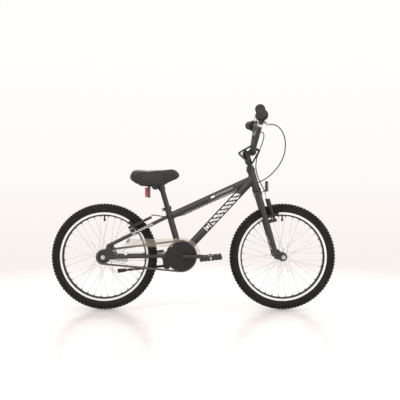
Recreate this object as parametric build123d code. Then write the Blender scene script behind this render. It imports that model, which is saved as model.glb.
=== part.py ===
from build123d import *
from math import asin, atan2, cos, degrees, hypot, pi, radians, sin, sqrt, tan
import os

# A 20 inch BMX bicycle. Millimetres. +X is forward, +Y is the rider's left, +Z is up.
# The origin lies on the ground, midway between the axles, in the bicycle's middle plane.

# ---------------------------------------------------------------- driving dimensions
WHEELBASE = 850.0
TYRE_R = 253.0
TYRE_SECTION_R = 24.5
TYRE_WALL = 3.5
TUBE_SECTION_R = 19.0
TUBE_WALL = 1.2
RIM_INNER_R = 194.0
RIM_TRACK_R = 201.0
RIM_OUTER_R = 211.0
RIM_HALF_WIDTH = 16.0
RIM_WALL = 2.0
SPOKES = 36
SPOKE_R = 1.0
SPOKE_CROSS_DEG = 60.0
VALVE_R = 4.0
VALVE_END_R = 168.0
FRONT_HUB_SPACING = 100.0
REAR_HUB_SPACING = 110.0
AXLE_R = 4.8
PEG_R = 4.2
PEG_LENGTH = 7.0

HEAD_TILT_DEG = 16.0
STEER_X_AT_AXLE = 393.2
HEAD_TUBE_LOW = 333.3
HEAD_TUBE_HIGH = 427.0
HEAD_TUBE_R = 18.0
HEAD_TUBE_BORE = 15.0
STEERER_R = 12.7
QUILL_R = 11.1

BB_X = -59.0
BB_Z = 258.0
BB_SHELL_R = 28.5
BB_BORE_R = 25.65
BB_HALF_WIDTH = 34.0
SEAT_TUBE_ANGLE = 74.0
SEAT_TUBE_R = 15.0
SEAT_TUBE_LENGTH = 238.0
SEATPOST_R = 12.7
SEATPOST_TOP = 352.0
SEATPOST_BOTTOM = 146.0
DOWN_TUBE_R = 19.0
TOP_TUBE_R = 17.0
TOP_TUBE_REAR = (-102.0, 449.0)
HEAD_JOINT = (286.0, 626.5)
TUBE_WALL_THICKNESS = 1.6

CHAIN_PITCH = 12.7
RING_TEETH = 36
COG_TEETH = 16
CHAIN_Y = -41.0
ROLLER_R = 3.9
CHAIN_PIN_R = 1.8
GUARD_DISC_R = 71.0
CRANK_LENGTH = 140.0
CRANK_R = 9.0
SPINDLE_R = 12.0
PEDAL_Y = 72.0
PEDAL_EYE_HALF = 9.2
PEDAL_AXLE_R = 5.0

BRAKE_BOSS_R = 178.0
BRAKE_PIVOT_R = 4.0
BRAKE_ARM_LENGTH = 107.0
PAD_GAP = 2.0
PAD_R = 206.5

BAR_R = 11.1
BAR_CENTRE = (282.0, 753.0)
BAR_HALF_WIDTH = 330.0
GRIP_LENGTH = 108.0
GRIP_R = 16.0
LEVER_Y = 213.0
CABLE_R = 2.6
WIRE_R = 0.8

# ---------------------------------------------------------------- derived places and planes
AXLE_Z = TYRE_R
REAR_AXLE = (-WHEELBASE / 2, 0, AXLE_Z)
FRONT_AXLE = (WHEELBASE / 2, 0, AXLE_Z)
TILT_S = sin(radians(HEAD_TILT_DEG))
TILT_C = cos(radians(HEAD_TILT_DEG))
STEER = Plane(origin=(STEER_X_AT_AXLE, 0, AXLE_Z), x_dir=(TILT_C, 0, TILT_S), z_dir=(-TILT_S, 0, TILT_C))
FRONT_BRAKE = Plane(origin=FRONT_AXLE, x_dir=(TILT_C, 0, TILT_S), z_dir=(-TILT_S, 0, TILT_C))
SEAT_S = sin(radians(SEAT_TUBE_ANGLE))
SEAT_C = cos(radians(SEAT_TUBE_ANGLE))
SEAT = Plane(origin=(BB_X, 0, BB_Z), x_dir=(SEAT_S, 0, SEAT_C), z_dir=(-SEAT_C, 0, SEAT_S))

# The seat stays run from the dropouts to the seat tube. Along them, distance is counted from the
# foot of the perpendicular dropped from the rear axle.
STAY_LOW = (-395.0, 310.0)
STAY_HIGH = (-131.0, 440.0)
STAY_RUN = hypot(STAY_HIGH[0] - STAY_LOW[0], STAY_HIGH[1] - STAY_LOW[1])
STAY_X = (STAY_HIGH[0] - STAY_LOW[0]) / STAY_RUN
STAY_Z = (STAY_HIGH[1] - STAY_LOW[1]) / STAY_RUN
REAR_BRAKE = Plane(origin=REAR_AXLE, x_dir=(-STAY_Z, 0, STAY_X), z_dir=(STAY_X, 0, STAY_Z))
STAY_FOOT = (STAY_LOW[0] - REAR_AXLE[0]) * STAY_X + (STAY_LOW[1] - AXLE_Z) * STAY_Z
STAY_OFFSET = -(STAY_LOW[0] - REAR_AXLE[0]) * STAY_Z + (STAY_LOW[1] - AXLE_Z) * STAY_X

RING_R = CHAIN_PITCH / (2 * sin(pi / RING_TEETH))
COG_R = CHAIN_PITCH / (2 * sin(pi / COG_TEETH))


# ---------------------------------------------------------------- shared helpers
def rod(start, end, radius):
    """A solid cylinder between two points."""
    a = Vector(start)
    run = Vector(end) - a
    base = Plane(origin=a, z_dir=run.normalized())
    return base * Cylinder(radius, run.length, align=(Align.CENTER, Align.CENTER, Align.MIN))


def taper(start, end, radius_start, radius_end):
    """A cone-shaped rod between two points."""
    a = Vector(start)
    run = Vector(end) - a
    base = Plane(origin=a, z_dir=run.normalized())
    return base * Cone(radius_start, radius_end, run.length, align=(Align.CENTER, Align.CENTER, Align.MIN))


def pipe(start, end, radius, bore):
    """A tube between two points."""
    return rod(start, end, radius) - rod(start, end, bore)


def disc_y(centre, radius, low_y, high_y):
    """A cylinder whose axis is parallel to Y, round the point (x, z)."""
    return rod((centre[0], low_y, centre[1]), (centre[0], high_y, centre[1]), radius)


def ring_y(centre, radius, bore, low_y, high_y):
    """A ring whose axis is parallel to Y, round the point (x, z)."""
    return disc_y(centre, radius, low_y, high_y) - disc_y(centre, bore, low_y, high_y)


def slab(points, low_y, high_y):
    """A flat plate with its outline in X and Z, from low_y to high_y."""
    outline = make_face(Polyline(*[(x, 0, z) for x, z in points], close=True))
    return extrude(outline, amount=high_y - low_y, dir=(0, 1, 0)).moved(Location((0, low_y, 0)))


def hexagon(radius, height):
    return extrude(RegularPolygon(radius, 6), amount=height)


def spin_y(points, centre):
    """A solid of revolution about the axis through centre, parallel to Y, from (radius, y) points."""
    outline = make_face(Polyline(*[(r, y, 0) for r, y in points], close=True))
    return revolve(outline, axis=Axis.Y).moved(Location(centre))


def mirrored(shape):
    return mirror(shape, about=Plane.XZ)


def common(first, second):
    """What two shapes share, as one compound."""
    return Compound(children=list((first & second).solids()))


def round_route(points):
    """Straight runs joined by tangent arcs, each as large as its two runs allow."""
    places = [Vector(*p) for p in points]
    radii = []
    for before, here, after in zip(places, places[1:], places[2:]):
        turn = radians((here - before).get_angle(after - here))
        shorter = min((here - before).length, (after - here).length)
        radii.append(0.45 * shorter / tan(turn / 2))
    return FilletPolyline(*places, radius=radii)


def swept(path, radius):
    section = Plane(origin=path @ 0, z_dir=path % 0) * Circle(radius)
    return sweep(section, path=path)


def cord(points, radius):
    """A cable along a rounded route. Prints how its volume compares with section times length."""
    path = round_route(points)
    solid = swept(path, radius)
    print("cord", round(path.length), "mm, volume ratio", round(solid.volume / (pi * radius ** 2 * path.length), 3))
    return solid


def balls(plane, count, ball_r, circle_r, along):
    """A ring of loose bearing balls round a plane's normal."""
    made = []
    for i in range(count):
        angle = 2 * pi * i / count
        at = plane * Pos(circle_r * cos(angle), circle_r * sin(angle), along)
        made.append(at * Sphere(ball_r))
    return made


def save(name, shapes):
    """Write one node, a single solid or a group of separate ones."""
    parts = []
    for shape in shapes if isinstance(shapes, list) else [shapes]:
        parts.extend(shape.solids())
    made = parts[0] if len(parts) == 1 else Compound(children=parts)
    export_step(made, "parts/" + name + ".step")


# ---------------------------------------------------------------- wheels
def rim(axle):
    """A single-wall rim, its side walls machined flat for the brake pads."""
    w = RIM_HALF_WIDTH
    profile = [
        (RIM_INNER_R, -8), (RIM_INNER_R, 8), (RIM_TRACK_R, w), (RIM_OUTER_R, w),
        (RIM_OUTER_R, w - RIM_WALL), (RIM_TRACK_R + 1, w - RIM_WALL), (RIM_INNER_R + RIM_WALL, 7),
        (RIM_INNER_R + RIM_WALL, -7), (RIM_TRACK_R + 1, -w + RIM_WALL), (RIM_OUTER_R, -w + RIM_WALL),
        (RIM_OUTER_R, -w), (RIM_TRACK_R, -w),
    ]
    hoop = spin_y(profile, axle)
    valve_hole = rod((axle[0], 0, AXLE_Z + RIM_INNER_R - 5), (axle[0], 0, AXLE_Z + RIM_TRACK_R), VALVE_R + 0.3)
    return hoop - valve_hole


def tyre(axle):
    """A C-shaped tyre casing whose beads sit inside the rim's walls."""
    middle = TYRE_R - TYRE_SECTION_R
    bead_low = RIM_TRACK_R + 2
    seat = RIM_HALF_WIDTH - RIM_WALL - 0.2
    section = Plane.XY * Pos(middle, 0) * Circle(TYRE_SECTION_R)
    section += Pos(bead_low + 6, 0) * Rectangle(12, 2 * seat)
    section -= Pos(middle - 0.5, 0) * Circle(TYRE_SECTION_R - TYRE_WALL)
    section -= Pos(bead_low + 4, 0) * Rectangle(20, 2 * seat - 7)
    for side in (-1, 1):
        section -= Pos(RIM_OUTER_R - 15 + 0.1, side * (seat + 10)) * Rectangle(30, 20)
    return revolve(section, axis=Axis.Y).moved(Location(axle))


def inner_tube(axle):
    """A hollow rubber tube with its valve, whose bore opens the hollow to the air."""
    middle = TYRE_R - TYRE_SECTION_R
    section = Pos(middle, 0) * (Circle(TUBE_SECTION_R) - Circle(TUBE_SECTION_R - TUBE_WALL))
    bladder = revolve(section, axis=Axis.Y).moved(Location(axle))
    stem_low = (axle[0], 0, AXLE_Z + VALVE_END_R)
    stem_top = (axle[0], 0, AXLE_Z + middle - TUBE_SECTION_R + 4)
    return bladder + rod(stem_low, stem_top, VALVE_R) - rod(stem_low, stem_top, 1.2)


def spokes(axle, flange_r, flange_left, flange_right):
    """Crossed spokes. Those that lean forward start outside the flange, the others inside it."""
    made = []
    nipple = 12.0
    for i in range(SPOKES):
        rim_angle = radians((i + 0.5) * 360 / SPOKES)
        side = 1 if i % 2 == 0 else -1
        lean = 1 if (i // 2) % 2 == 0 else -1
        hub_angle = rim_angle + lean * radians(SPOKE_CROSS_DEG)
        flange = flange_left if side > 0 else flange_right
        hub_y = flange + side * (3.2 if lean > 0 else -3.2)
        head = Vector(axle[0] + flange_r * cos(hub_angle), hub_y, AXLE_Z + flange_r * sin(hub_angle))
        tip_r = RIM_INNER_R - 0.9
        tip = Vector(axle[0] + tip_r * cos(rim_angle), side * 2.5, AXLE_Z + tip_r * sin(rim_angle))
        back = (head - tip).normalized()
        wire = rod(head, tip, SPOKE_R)
        wire += rod((tip + back * nipple), tip, 1.9)
        far_y = flange - side * (3.0 if lean > 0 else -3.0)
        wire += rod((head.X, hub_y, head.Z), (head.X, far_y, head.Z), SPOKE_R)
        wire += Pos(head) * Sphere(SPOKE_R)
        made.append(wire - disc_y((axle[0], axle[2]), 1, -1, 1))
    return made


def hub(axle, half_left, half_right, flange_r, flange_left, flange_right, barrel_r):
    """A hub shell with two drilled flanges and a bore that leaves room for the bearing balls."""
    edge = flange_r + 3.2
    bore = 12.5
    profile = [
        (bore, -half_right), (barrel_r - 2, -half_right), (barrel_r, flange_right - 2.2),
        (edge, flange_right - 1.3), (edge, flange_right + 1.3), (barrel_r, flange_right + 1.8),
        (barrel_r, flange_left - 1.8), (edge, flange_left - 1.3), (edge, flange_left + 1.3),
        (barrel_r, flange_left + 2.2), (barrel_r - 2, half_left), (bore, half_left),
    ]
    shell = spin_y(profile, axle)
    holes = []
    for i in range(SPOKES):
        rim_angle = radians((i + 0.5) * 360 / SPOKES)
        side = 1 if i % 2 == 0 else -1
        lean = 1 if (i // 2) % 2 == 0 else -1
        angle = rim_angle + lean * radians(SPOKE_CROSS_DEG)
        at = (axle[0] + flange_r * cos(angle), axle[2] + flange_r * sin(angle))
        flange = flange_left if side > 0 else flange_right
        holes.append(disc_y(at, SPOKE_R + 0.2, flange - 4, flange + 4))
    return shell - holes


def axle_set(axle, half_spacing, cone_left, cone_right, plate):
    """An axle with its cones, locknuts, bearing balls, washers and outer nuts."""
    centre = (axle[0], axle[2])
    nut_face = half_spacing + plate + 10.5
    spindle = disc_y(centre, AXLE_R, -nut_face, nut_face)
    spindle += disc_y(centre, PEG_R, -nut_face - PEG_LENGTH, nut_face + PEG_LENGTH)
    made = [spindle]
    for side, cone in ((1, cone_left), (-1, cone_right)):
        ends = sorted((side * (cone - 9), side * half_spacing))
        made.append(ring_y(centre, 7.5, AXLE_R, *ends))
        ball_plane = Plane(origin=(axle[0], side * (cone - 4), axle[2]), z_dir=(0, 1, 0))
        made.extend(balls(ball_plane, 9, 2.38, 10.0, 0))
        washer = sorted((side * (half_spacing + plate), side * (half_spacing + plate + 1.5)))
        made.append(ring_y(centre, 10, AXLE_R, *washer))
        nut_plane = Plane(origin=(axle[0], side * (half_spacing + plate + 1.5), axle[2]), z_dir=(0, side, 0))
        made.append(nut_plane * (hexagon(9.5, 9) - Cylinder(AXLE_R, 30)))
    return made


# ---------------------------------------------------------------- frame tubes
def head_tube_outer():
    return STEER * Pos(0, 0, HEAD_TUBE_LOW) * Cylinder(
        HEAD_TUBE_R, HEAD_TUBE_HIGH - HEAD_TUBE_LOW, align=(Align.CENTER, Align.CENTER, Align.MIN))


def head_tube():
    tube = head_tube_outer()
    for low in (HEAD_TUBE_LOW, HEAD_TUBE_HIGH - 8):
        tube += STEER * Pos(0, 0, low) * Cylinder(
            HEAD_TUBE_R + 1.5, 8, align=(Align.CENTER, Align.CENTER, Align.MIN))
    bore = STEER * Pos(0, 0, HEAD_TUBE_LOW - 1) * Cylinder(
        HEAD_TUBE_BORE, HEAD_TUBE_HIGH - HEAD_TUBE_LOW + 2, align=(Align.CENTER, Align.CENTER, Align.MIN))
    return tube - bore


def bb_shell_outer():
    return disc_y((BB_X, BB_Z), BB_SHELL_R, -BB_HALF_WIDTH, BB_HALF_WIDTH)


def seat_tube_outer():
    return SEAT * Cylinder(SEAT_TUBE_R, SEAT_TUBE_LENGTH, align=(Align.CENTER, Align.CENTER, Align.MIN))


def seat_tube():
    bore = SEAT * Cylinder(SEATPOST_R + 0.05, SEAT_TUBE_LENGTH + 1, align=(Align.CENTER, Align.CENTER, Align.MIN))
    slot = SEAT * Pos(-SEAT_TUBE_R, 0, SEAT_TUBE_LENGTH) * Box(20, 3, 44)
    return seat_tube_outer() - bore - bb_shell_outer() - slot


def down_tube_ends():
    return (BB_X, 0, BB_Z), (HEAD_JOINT[0], 0, HEAD_JOINT[1])


def down_tube():
    start, end = down_tube_ends()
    tube = pipe(start, end, DOWN_TUBE_R, DOWN_TUBE_R - TUBE_WALL_THICKNESS)
    return tube - bb_shell_outer() - seat_tube_outer() - head_tube_outer()


def top_tube():
    start = (TOP_TUBE_REAR[0], 0, TOP_TUBE_REAR[1])
    end = (HEAD_JOINT[0], 0, HEAD_JOINT[1])
    tube = pipe(start, end, TOP_TUBE_R, TOP_TUBE_R - TUBE_WALL_THICKNESS)
    tube = tube - seat_tube_outer() - head_tube_outer() - rod(*down_tube_ends(), DOWN_TUBE_R)
    return max(tube.solids(), key=lambda piece: piece.volume)


DROPOUT_OUTLINE = [
    (-440, 262), (-441, 245), (-428, 240), (-402, 241), (-370, 246), (-366, 256),
    (-372, 268), (-384, 292), (-392, 312), (-402, 318), (-409, 306), (-416, 276),
]


def chainstay_and_dropout(side):
    """One chainstay with its welded dropout plate."""
    runs = [(-84, 19.5, 258), (-142, 26.5, 257), (-200, 38.5, 256), (-384, 57.5, 254)]
    path = round_route([(x, side * y, z) for x, y, z in runs])
    inner = REAR_HUB_SPACING / 2
    ends = sorted((side * inner, side * (inner + 5)))
    stay = swept(path, 8.5) + slab(DROPOUT_OUTLINE, *ends)
    return stay - bb_shell_outer() - disc_y((REAR_AXLE[0], AXLE_Z), AXLE_R + 0.1, *ends)


def chainstays():
    bridge = rod((-158, -24, 256.7), (-158, 24, 256.7), 6)
    sides = [chainstay_and_dropout(side) for side in (-1, 1)]
    return sides + [bridge - sides[0] - sides[1]]


def stay_point(along, y):
    """A point on a seat stay's line, so far above its lower end."""
    return (STAY_LOW[0] + STAY_X * along, y, STAY_LOW[1] + STAY_Z * along)


BOSS_ALONG = sqrt(BRAKE_BOSS_R ** 2 - STAY_OFFSET ** 2) - STAY_FOOT
REAR_BOSS_Y = 43.0
FRONT_BOSS_Y = 47.0


def seatstays(lower):
    """Two stays with a brake boss each, and a bridge above the tyre."""
    made = []
    for side in (-1, 1):
        runs = [(298, 14), (215, 36.5), (BOSS_ALONG, REAR_BOSS_Y), (0, 57.5)]
        path = round_route([stay_point(along, side * y) for along, y in runs])
        foot = Vector(*stay_point(BOSS_ALONG, side * REAR_BOSS_Y))
        out = Vector(-STAY_Z, 0, STAY_X)
        stay = swept(path, 8.5) + rod(foot, (foot + out * 24), 6.5)
        stay -= rod((foot + out * 14), (foot + out * 25), BRAKE_PIVOT_R)
        made.append(stay - seat_tube_outer() - lower)
    bridge = rod(stay_point(236, -31), stay_point(236, 31), 6)
    made.append(bridge - made[0] - made[1])
    return made


def seat_clamp():
    """A collar round the top of the seat tube, split at the rear, with two ears for its bolt."""
    low = SEAT_TUBE_LENGTH - 12
    collar = SEAT * Pos(0, 0, low) * Cylinder(SEAT_TUBE_R + 3.5, 16, align=(Align.CENTER, Align.CENTER, Align.MIN))
    collar += SEAT * Pos(-SEAT_TUBE_R - 7, 0, low + 8) * Box(14, 16, 14)
    collar -= SEAT * Pos(0, 0, low - 1) * Cylinder(SEAT_TUBE_R, 13, align=(Align.CENTER, Align.CENTER, Align.MIN))
    collar -= SEAT * Pos(0, 0, low) * Cylinder(SEATPOST_R + 0.4, 20, align=(Align.CENTER, Align.CENTER, Align.MIN))
    collar -= SEAT * Pos(-SEAT_TUBE_R - 8, 0, low + 8) * Box(26, 3, 20)
    return collar - seat_clamp_bolt()[0]


def seat_clamp_bolt():
    at = SEAT * Pos(-SEAT_TUBE_R - 9, 0, SEAT_TUBE_LENGTH - 4)
    shank = at * Rot(90, 0, 0) * Cylinder(2.5, 24)
    head = at * Rot(90, 0, 0) * Pos(0, 0, 10.5) * Cylinder(4.5, 5)
    nut = at * Rot(90, 0, 0) * Pos(0, 0, -12.5) * hexagon(5, 4)
    return [shank + head + nut]


# ---------------------------------------------------------------- bearings
BALL_R = 2.38
HEADSET_BALL_CIRCLE = 16.8


def headset_cup(low, up):
    """A cup pressed into one end of the head tube: up is +1 for the top one, -1 for the bottom one."""
    pieces = STEER * Pos(0, 0, low + up * 2.5) * (Cylinder(21, 5) - Cylinder(14.5, 6))
    pieces += STEER * Pos(0, 0, low + up * 7.25) * (Cylinder(21, 4.5) - Cylinder(19.6, 5))
    pieces += STEER * Pos(0, 0, low - up * 4) * (Cylinder(HEAD_TUBE_BORE, 8) - Cylinder(13.4, 9))
    return pieces


def bb_cup(side):
    """A cup pressed into one end of the bottom bracket shell."""
    centre = (BB_X, BB_Z)
    wall = ring_y(centre, BB_BORE_R, 22.3, *sorted((side * 26, side * 34)))
    lip = ring_y(centre, BB_SHELL_R, 22.3, *sorted((side * 34, side * 36)))
    web = ring_y(centre, BB_BORE_R, 15.8, *sorted((side * 26, side * 28.5)))
    return wall + lip + web


def bearing_cups():
    return [headset_cup(HEAD_TUBE_HIGH, 1), headset_cup(HEAD_TUBE_LOW, -1), bb_cup(1), bb_cup(-1)]


def bearing_balls():
    made = balls(STEER, 20, BALL_R, HEADSET_BALL_CIRCLE, HEAD_TUBE_HIGH + 5 + BALL_R + 0.01)
    made += balls(STEER, 20, BALL_R, HEADSET_BALL_CIRCLE, HEAD_TUBE_LOW - 5 - BALL_R - 0.01)
    for side in (-1, 1):
        plane = Plane(origin=(BB_X, side * 31.7, BB_Z), z_dir=(0, 1, 0))
        made += balls(plane, 11, 3.17, 18.8, 0)
    return made


# ---------------------------------------------------------------- drive
def sprocket(teeth, pitch_r, half_thick, phase_deg):
    """A toothed plate in the XY plane, with a gullet at phase_deg."""
    root_r = pitch_r - ROLLER_R - 0.05
    plate = Circle(root_r)
    for i in range(teeth):
        angle = phase_deg + (i + 0.5) * 360 / teeth
        tooth = make_face(Polyline(
            (root_r - 2, -3), (root_r + 1.2, -2.5), (pitch_r, -2.15), (pitch_r + 3.1, -0.9),
            (pitch_r + 3.1, 0.9), (pitch_r, 2.15), (root_r + 1.2, 2.5), (root_r - 2, 3), close=True))
        plate += Rot(0, 0, angle) * tooth
    return extrude(plate, amount=half_thick, both=True)


def chain_geometry():
    """Centre distance, its slope, and the wrap angle gained on the big ring."""
    dx = REAR_AXLE[0] - BB_X
    dz = AXLE_Z - BB_Z
    distance = hypot(dx, dz)
    slope = atan2(dz, dx)
    lean = asin((RING_R - COG_R) / distance)
    return distance, slope, lean


def chain_pins():
    """Pin places (x, z) at one pitch from each other round both sprockets."""
    distance, slope, lean = chain_geometry()
    ring_step = 2 * pi / RING_TEETH
    cog_step = 2 * pi / COG_TEETH
    ring_wrap = (pi + 2 * lean) / ring_step
    cog_wrap = (pi - 2 * lean) / cog_step
    straight = sqrt(distance ** 2 - (RING_R - COG_R) ** 2) / CHAIN_PITCH
    links = round(ring_wrap + cog_wrap + 2 * straight)
    scale = (ring_wrap + cog_wrap + 2 * straight) / links
    top = slope - (pi / 2 - lean)
    low = slope + (pi / 2 - lean)
    ring_top = Vector(BB_X + RING_R * cos(top), 0, BB_Z + RING_R * sin(top))
    ring_low = Vector(BB_X + RING_R * cos(low), 0, BB_Z + RING_R * sin(low))
    cog_top = Vector(REAR_AXLE[0] + COG_R * cos(top), 0, AXLE_Z + COG_R * sin(top))
    cog_low = Vector(REAR_AXLE[0] + COG_R * cos(low), 0, AXLE_Z + COG_R * sin(low))
    pins = []
    for i in range(links):
        u = i * scale
        if u < ring_wrap:
            angle = top - ring_step * u
            pins.append(Vector(BB_X + RING_R * cos(angle), 0, BB_Z + RING_R * sin(angle)))
        elif u < ring_wrap + straight:
            pins.append(ring_low + (cog_low - ring_low) * ((u - ring_wrap) / straight))
        elif u < ring_wrap + straight + cog_wrap:
            angle = low - cog_step * (u - ring_wrap - straight)
            pins.append(Vector(REAR_AXLE[0] + COG_R * cos(angle), 0, AXLE_Z + COG_R * sin(angle)))
        else:
            part = (u - ring_wrap - straight - cog_wrap) / straight
            pins.append(cog_top + (ring_top - cog_top) * part)
    return pins


def ring_phase():
    """The angle of one chain pin on the big ring, in degrees from +X towards +Z."""
    distance, slope, lean = chain_geometry()
    return degrees(slope - (pi / 2 - lean))


def cog_phase():
    """The angle, on the cog, of a chain pin that lies on it."""
    on_cog = [p for p in chain_pins() if hypot(p.X - REAR_AXLE[0], p.Z - AXLE_Z) < COG_R + 0.3]
    middle = on_cog[len(on_cog) // 2]
    return degrees(atan2(middle.Z - AXLE_Z, middle.X - REAR_AXLE[0]))


def link(start, end, inner):
    """One link: two plates with, between them, either two rollers or two pins."""
    run = end - start
    frame = Plane(origin=(start.X, CHAIN_Y, start.Z), x_dir=run.normalized(), z_dir=(0, -1, 0))
    near = 1.75 if inner else 2.95
    outline = Pos(run.length / 2, 0) * SlotCenterToCenter(run.length, 8.4)
    plate = extrude(outline, amount=1.1)
    shape = Pos(0, 0, near) * plate + Pos(0, 0, -near - 1.1) * plate
    half = near + 0.2 if inner else near + 1.4
    for x in (0, run.length):
        if inner:
            shape += Pos(x, 0, 0) * Cylinder(ROLLER_R, 2 * half)
        else:
            shape += Pos(x, 0, 0) * Cylinder(CHAIN_PIN_R, 2 * half)
    if inner:
        for x in (0, run.length):
            shape -= Pos(x, 0, 0) * Cylinder(CHAIN_PIN_R + 0.1, 20)
    return frame * shape


def chain():
    pins = chain_pins()
    made = []
    for i, pin in enumerate(pins):
        made.append(link(pin, pins[(i + 1) % len(pins)], i % 2 == 0))
    return made


def chainring():
    plate = sprocket(RING_TEETH, RING_R, 1.5, 0)
    plate -= Cylinder(SPINDLE_R + 0.05, 10)
    for i in range(5):
        angle = radians(72 * i + 36)
        plate -= Pos(42 * cos(angle), 42 * sin(angle), 0) * Cylinder(12, 10)
    frame = Plane(origin=(BB_X, CHAIN_Y, BB_Z), x_dir=(1, 0, 0), z_dir=(0, -1, 0))
    return frame * Rot(0, 0, ring_phase()) * plate


def chainring_guard():
    """A dished disc outside the chainring that keeps trousers off the teeth."""
    profile = [
        (SPINDLE_R + 0.05, -42.6), (SPINDLE_R + 0.05, -48), (50, -48), (53, -47.2), (GUARD_DISC_R - 1, -47.2),
        (GUARD_DISC_R, -46.6), (GUARD_DISC_R, -45.9), (52, -45.7), (49, -45.6), (20, -45.6), (18, -42.6),
    ]
    return spin_y(profile, (BB_X, 0, BB_Z))


def rear_cog():
    plate = sprocket(COG_TEETH, COG_R, 1.5, 0)
    plate += Pos(0, 0, -3) * Cylinder(19, 9.5)
    plate -= Cylinder(9.5, 40)
    frame = Plane(origin=(REAR_AXLE[0], CHAIN_Y, AXLE_Z), x_dir=(1, 0, 0), z_dir=(0, -1, 0))
    return frame * Rot(0, 0, cog_phase()) * plate


def pedal_place(side):
    """The end of one crank arm: the right arm points forward, the left one rearward."""
    return BB_X - side * CRANK_LENGTH


def crank():
    """A one-piece crank: both arms and the spindle are one forging. Its two cones screw on."""
    runs = [(BB_X + CRANK_LENGTH, -PEDAL_Y), (BB_X + 28, -68), (BB_X, -56)]
    runs += [(BB_X, 56), (BB_X - 28, 68), (BB_X - CRANK_LENGTH, PEDAL_Y)]
    path = FilletPolyline(*[(x, y, BB_Z) for x, y in runs], radius=18)
    forging = swept(path, CRANK_R) + disc_y((BB_X, BB_Z), SPINDLE_R, -48, 48)
    for side in (-1, 1):
        eye = (pedal_place(side), BB_Z)
        ends = sorted((side * (PEDAL_Y - PEDAL_EYE_HALF), side * (PEDAL_Y + PEDAL_EYE_HALF)))
        forging += disc_y(eye, 13, *ends)
        forging -= disc_y(eye, 6.3, side * PEDAL_Y - 12, side * PEDAL_Y + 12)
    cones = []
    for side in (-1, 1):
        collar = ring_y((BB_X, BB_Z), 15.4, SPINDLE_R, *sorted((side * 22, side * 36)))
        flange = ring_y((BB_X, BB_Z), 21.5, SPINDLE_R, *sorted((side * 34.95, side * 38)))
        cones.append(collar + flange)
    return [forging] + cones


def pedal_axles():
    made = []
    for side in (-1, 1):
        centre = (pedal_place(side), BB_Z)
        inner = side * (PEDAL_Y - PEDAL_EYE_HALF)
        shoulder = side * (PEDAL_Y + PEDAL_EYE_HALF)
        axle = disc_y(centre, 6.3, *sorted((inner, shoulder)))
        axle += disc_y(centre, 8.5, *sorted((shoulder, side * (PEDAL_Y + 12))))
        axle += disc_y(centre, PEDAL_AXLE_R, *sorted((shoulder, side * (PEDAL_Y + 104))))
        made.append(axle)
    return made


def pedal(side):
    """A toothed platform pedal with windows on both sides of its barrel."""
    half_length = 50
    half_thick = 9
    outline = [(half_length, half_thick), (half_length + 2, 0), (half_length, -half_thick)]
    for i in range(6):
        x = half_length - 8 - i * 17
        outline += [(x - 3, -half_thick - 3.2), (x - 6, -half_thick)]
    outline += [(-half_length, -half_thick), (-half_length - 2, 0), (-half_length, half_thick)]
    for i in range(6):
        x = -half_length + 8 + i * 17
        outline += [(x + 3, half_thick + 3.2), (x + 6, half_thick)]
    body = slab(outline, 0, 92)
    for low, high in ((7, 42), (50, 85)):
        for near, far in ((13, 28), (32, 46)):
            for sign in (-1, 1):
                body -= Pos(sign * (near + far) / 2, (low + high) / 2, 0) * Box(far - near, high - low, 40)
    body -= rod((0, -1, 0), (0, 93, 0), PEDAL_AXLE_R + 0.05)
    body = Rot(0, -6, 0) * body
    body = Pos(0, PEDAL_Y + 12.4, 0) * body
    if side < 0:
        body = mirrored(body)
    return Pos(pedal_place(side), 0, BB_Z) * body


# ---------------------------------------------------------------- chain guard, coaster arm, kickstand
def chain_guard():
    """A thin plastic guard: a side plate with a flange over the chain, curved round the chainring."""
    centre_x = BB_X + 7
    outer = 87
    side = slab([(-318, 303), (-300, 301), (-120, 301), (-120, 340), (-304, 340), (-322, 326)], -51.5, -50)
    over = slab([(-304, 340), (-304, 338.5), (-110, 338.5), (centre_x, 343.5), (centre_x, 345), (-112, 340)], -51.5, -34)
    plate = ring_y((centre_x, BB_Z), outer, 70, -51.5, -50)
    rim_band = ring_y((centre_x, BB_Z), outer, outer - 1.5, -51.5, -34)
    front = slab([(centre_x, 300), (centre_x, 380), (100, 380), (100, 246), (5, 246)], -60, -20)
    rear = slab([(-120, 301), (-120, 380), (centre_x, 380), (centre_x, 300)], -60, -20)
    round_part = common(plate + rim_band, front) + common(plate, rear)
    join = slab([(-120, 301), (-97, 301), (-97, 335), (centre_x, 343.5), (-120, 340)], -51.5, -50)
    guard = side + over + join + round_part
    return max(guard.solids(), key=lambda piece: piece.volume)


def guard_brackets():
    """One tab from the guard to the seat stay and one to the seat tube."""
    rear = slab([(-316, 322), (-302, 322), (-296, 345), (-310, 345)], -50, -48.5)
    front = Pos(-82, -24.6, 337.2) * Box(16, 18.4, 2)
    return rear, front


def coaster_brake_arm():
    """The reaction arm of the coaster brake, from the hub forward to a strap on the left chainstay."""
    low = REAR_HUB_SPACING / 2 - 3.4
    high = REAR_HUB_SPACING / 2 - 0.4
    arm = slab([(-425, 267), (-438, 258), (-436, 243), (-425, 236), (-330, 221), (-321, 224), (-321, 233),
                (-330, 236), (-385, 243), (-397, 249), (-412, 263)], low, high)
    arm -= disc_y((REAR_AXLE[0], AXLE_Z), 7.6, low - 1, high + 1)
    return arm - disc_y((-328, 229), 3.1, low - 1, high + 1)


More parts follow.
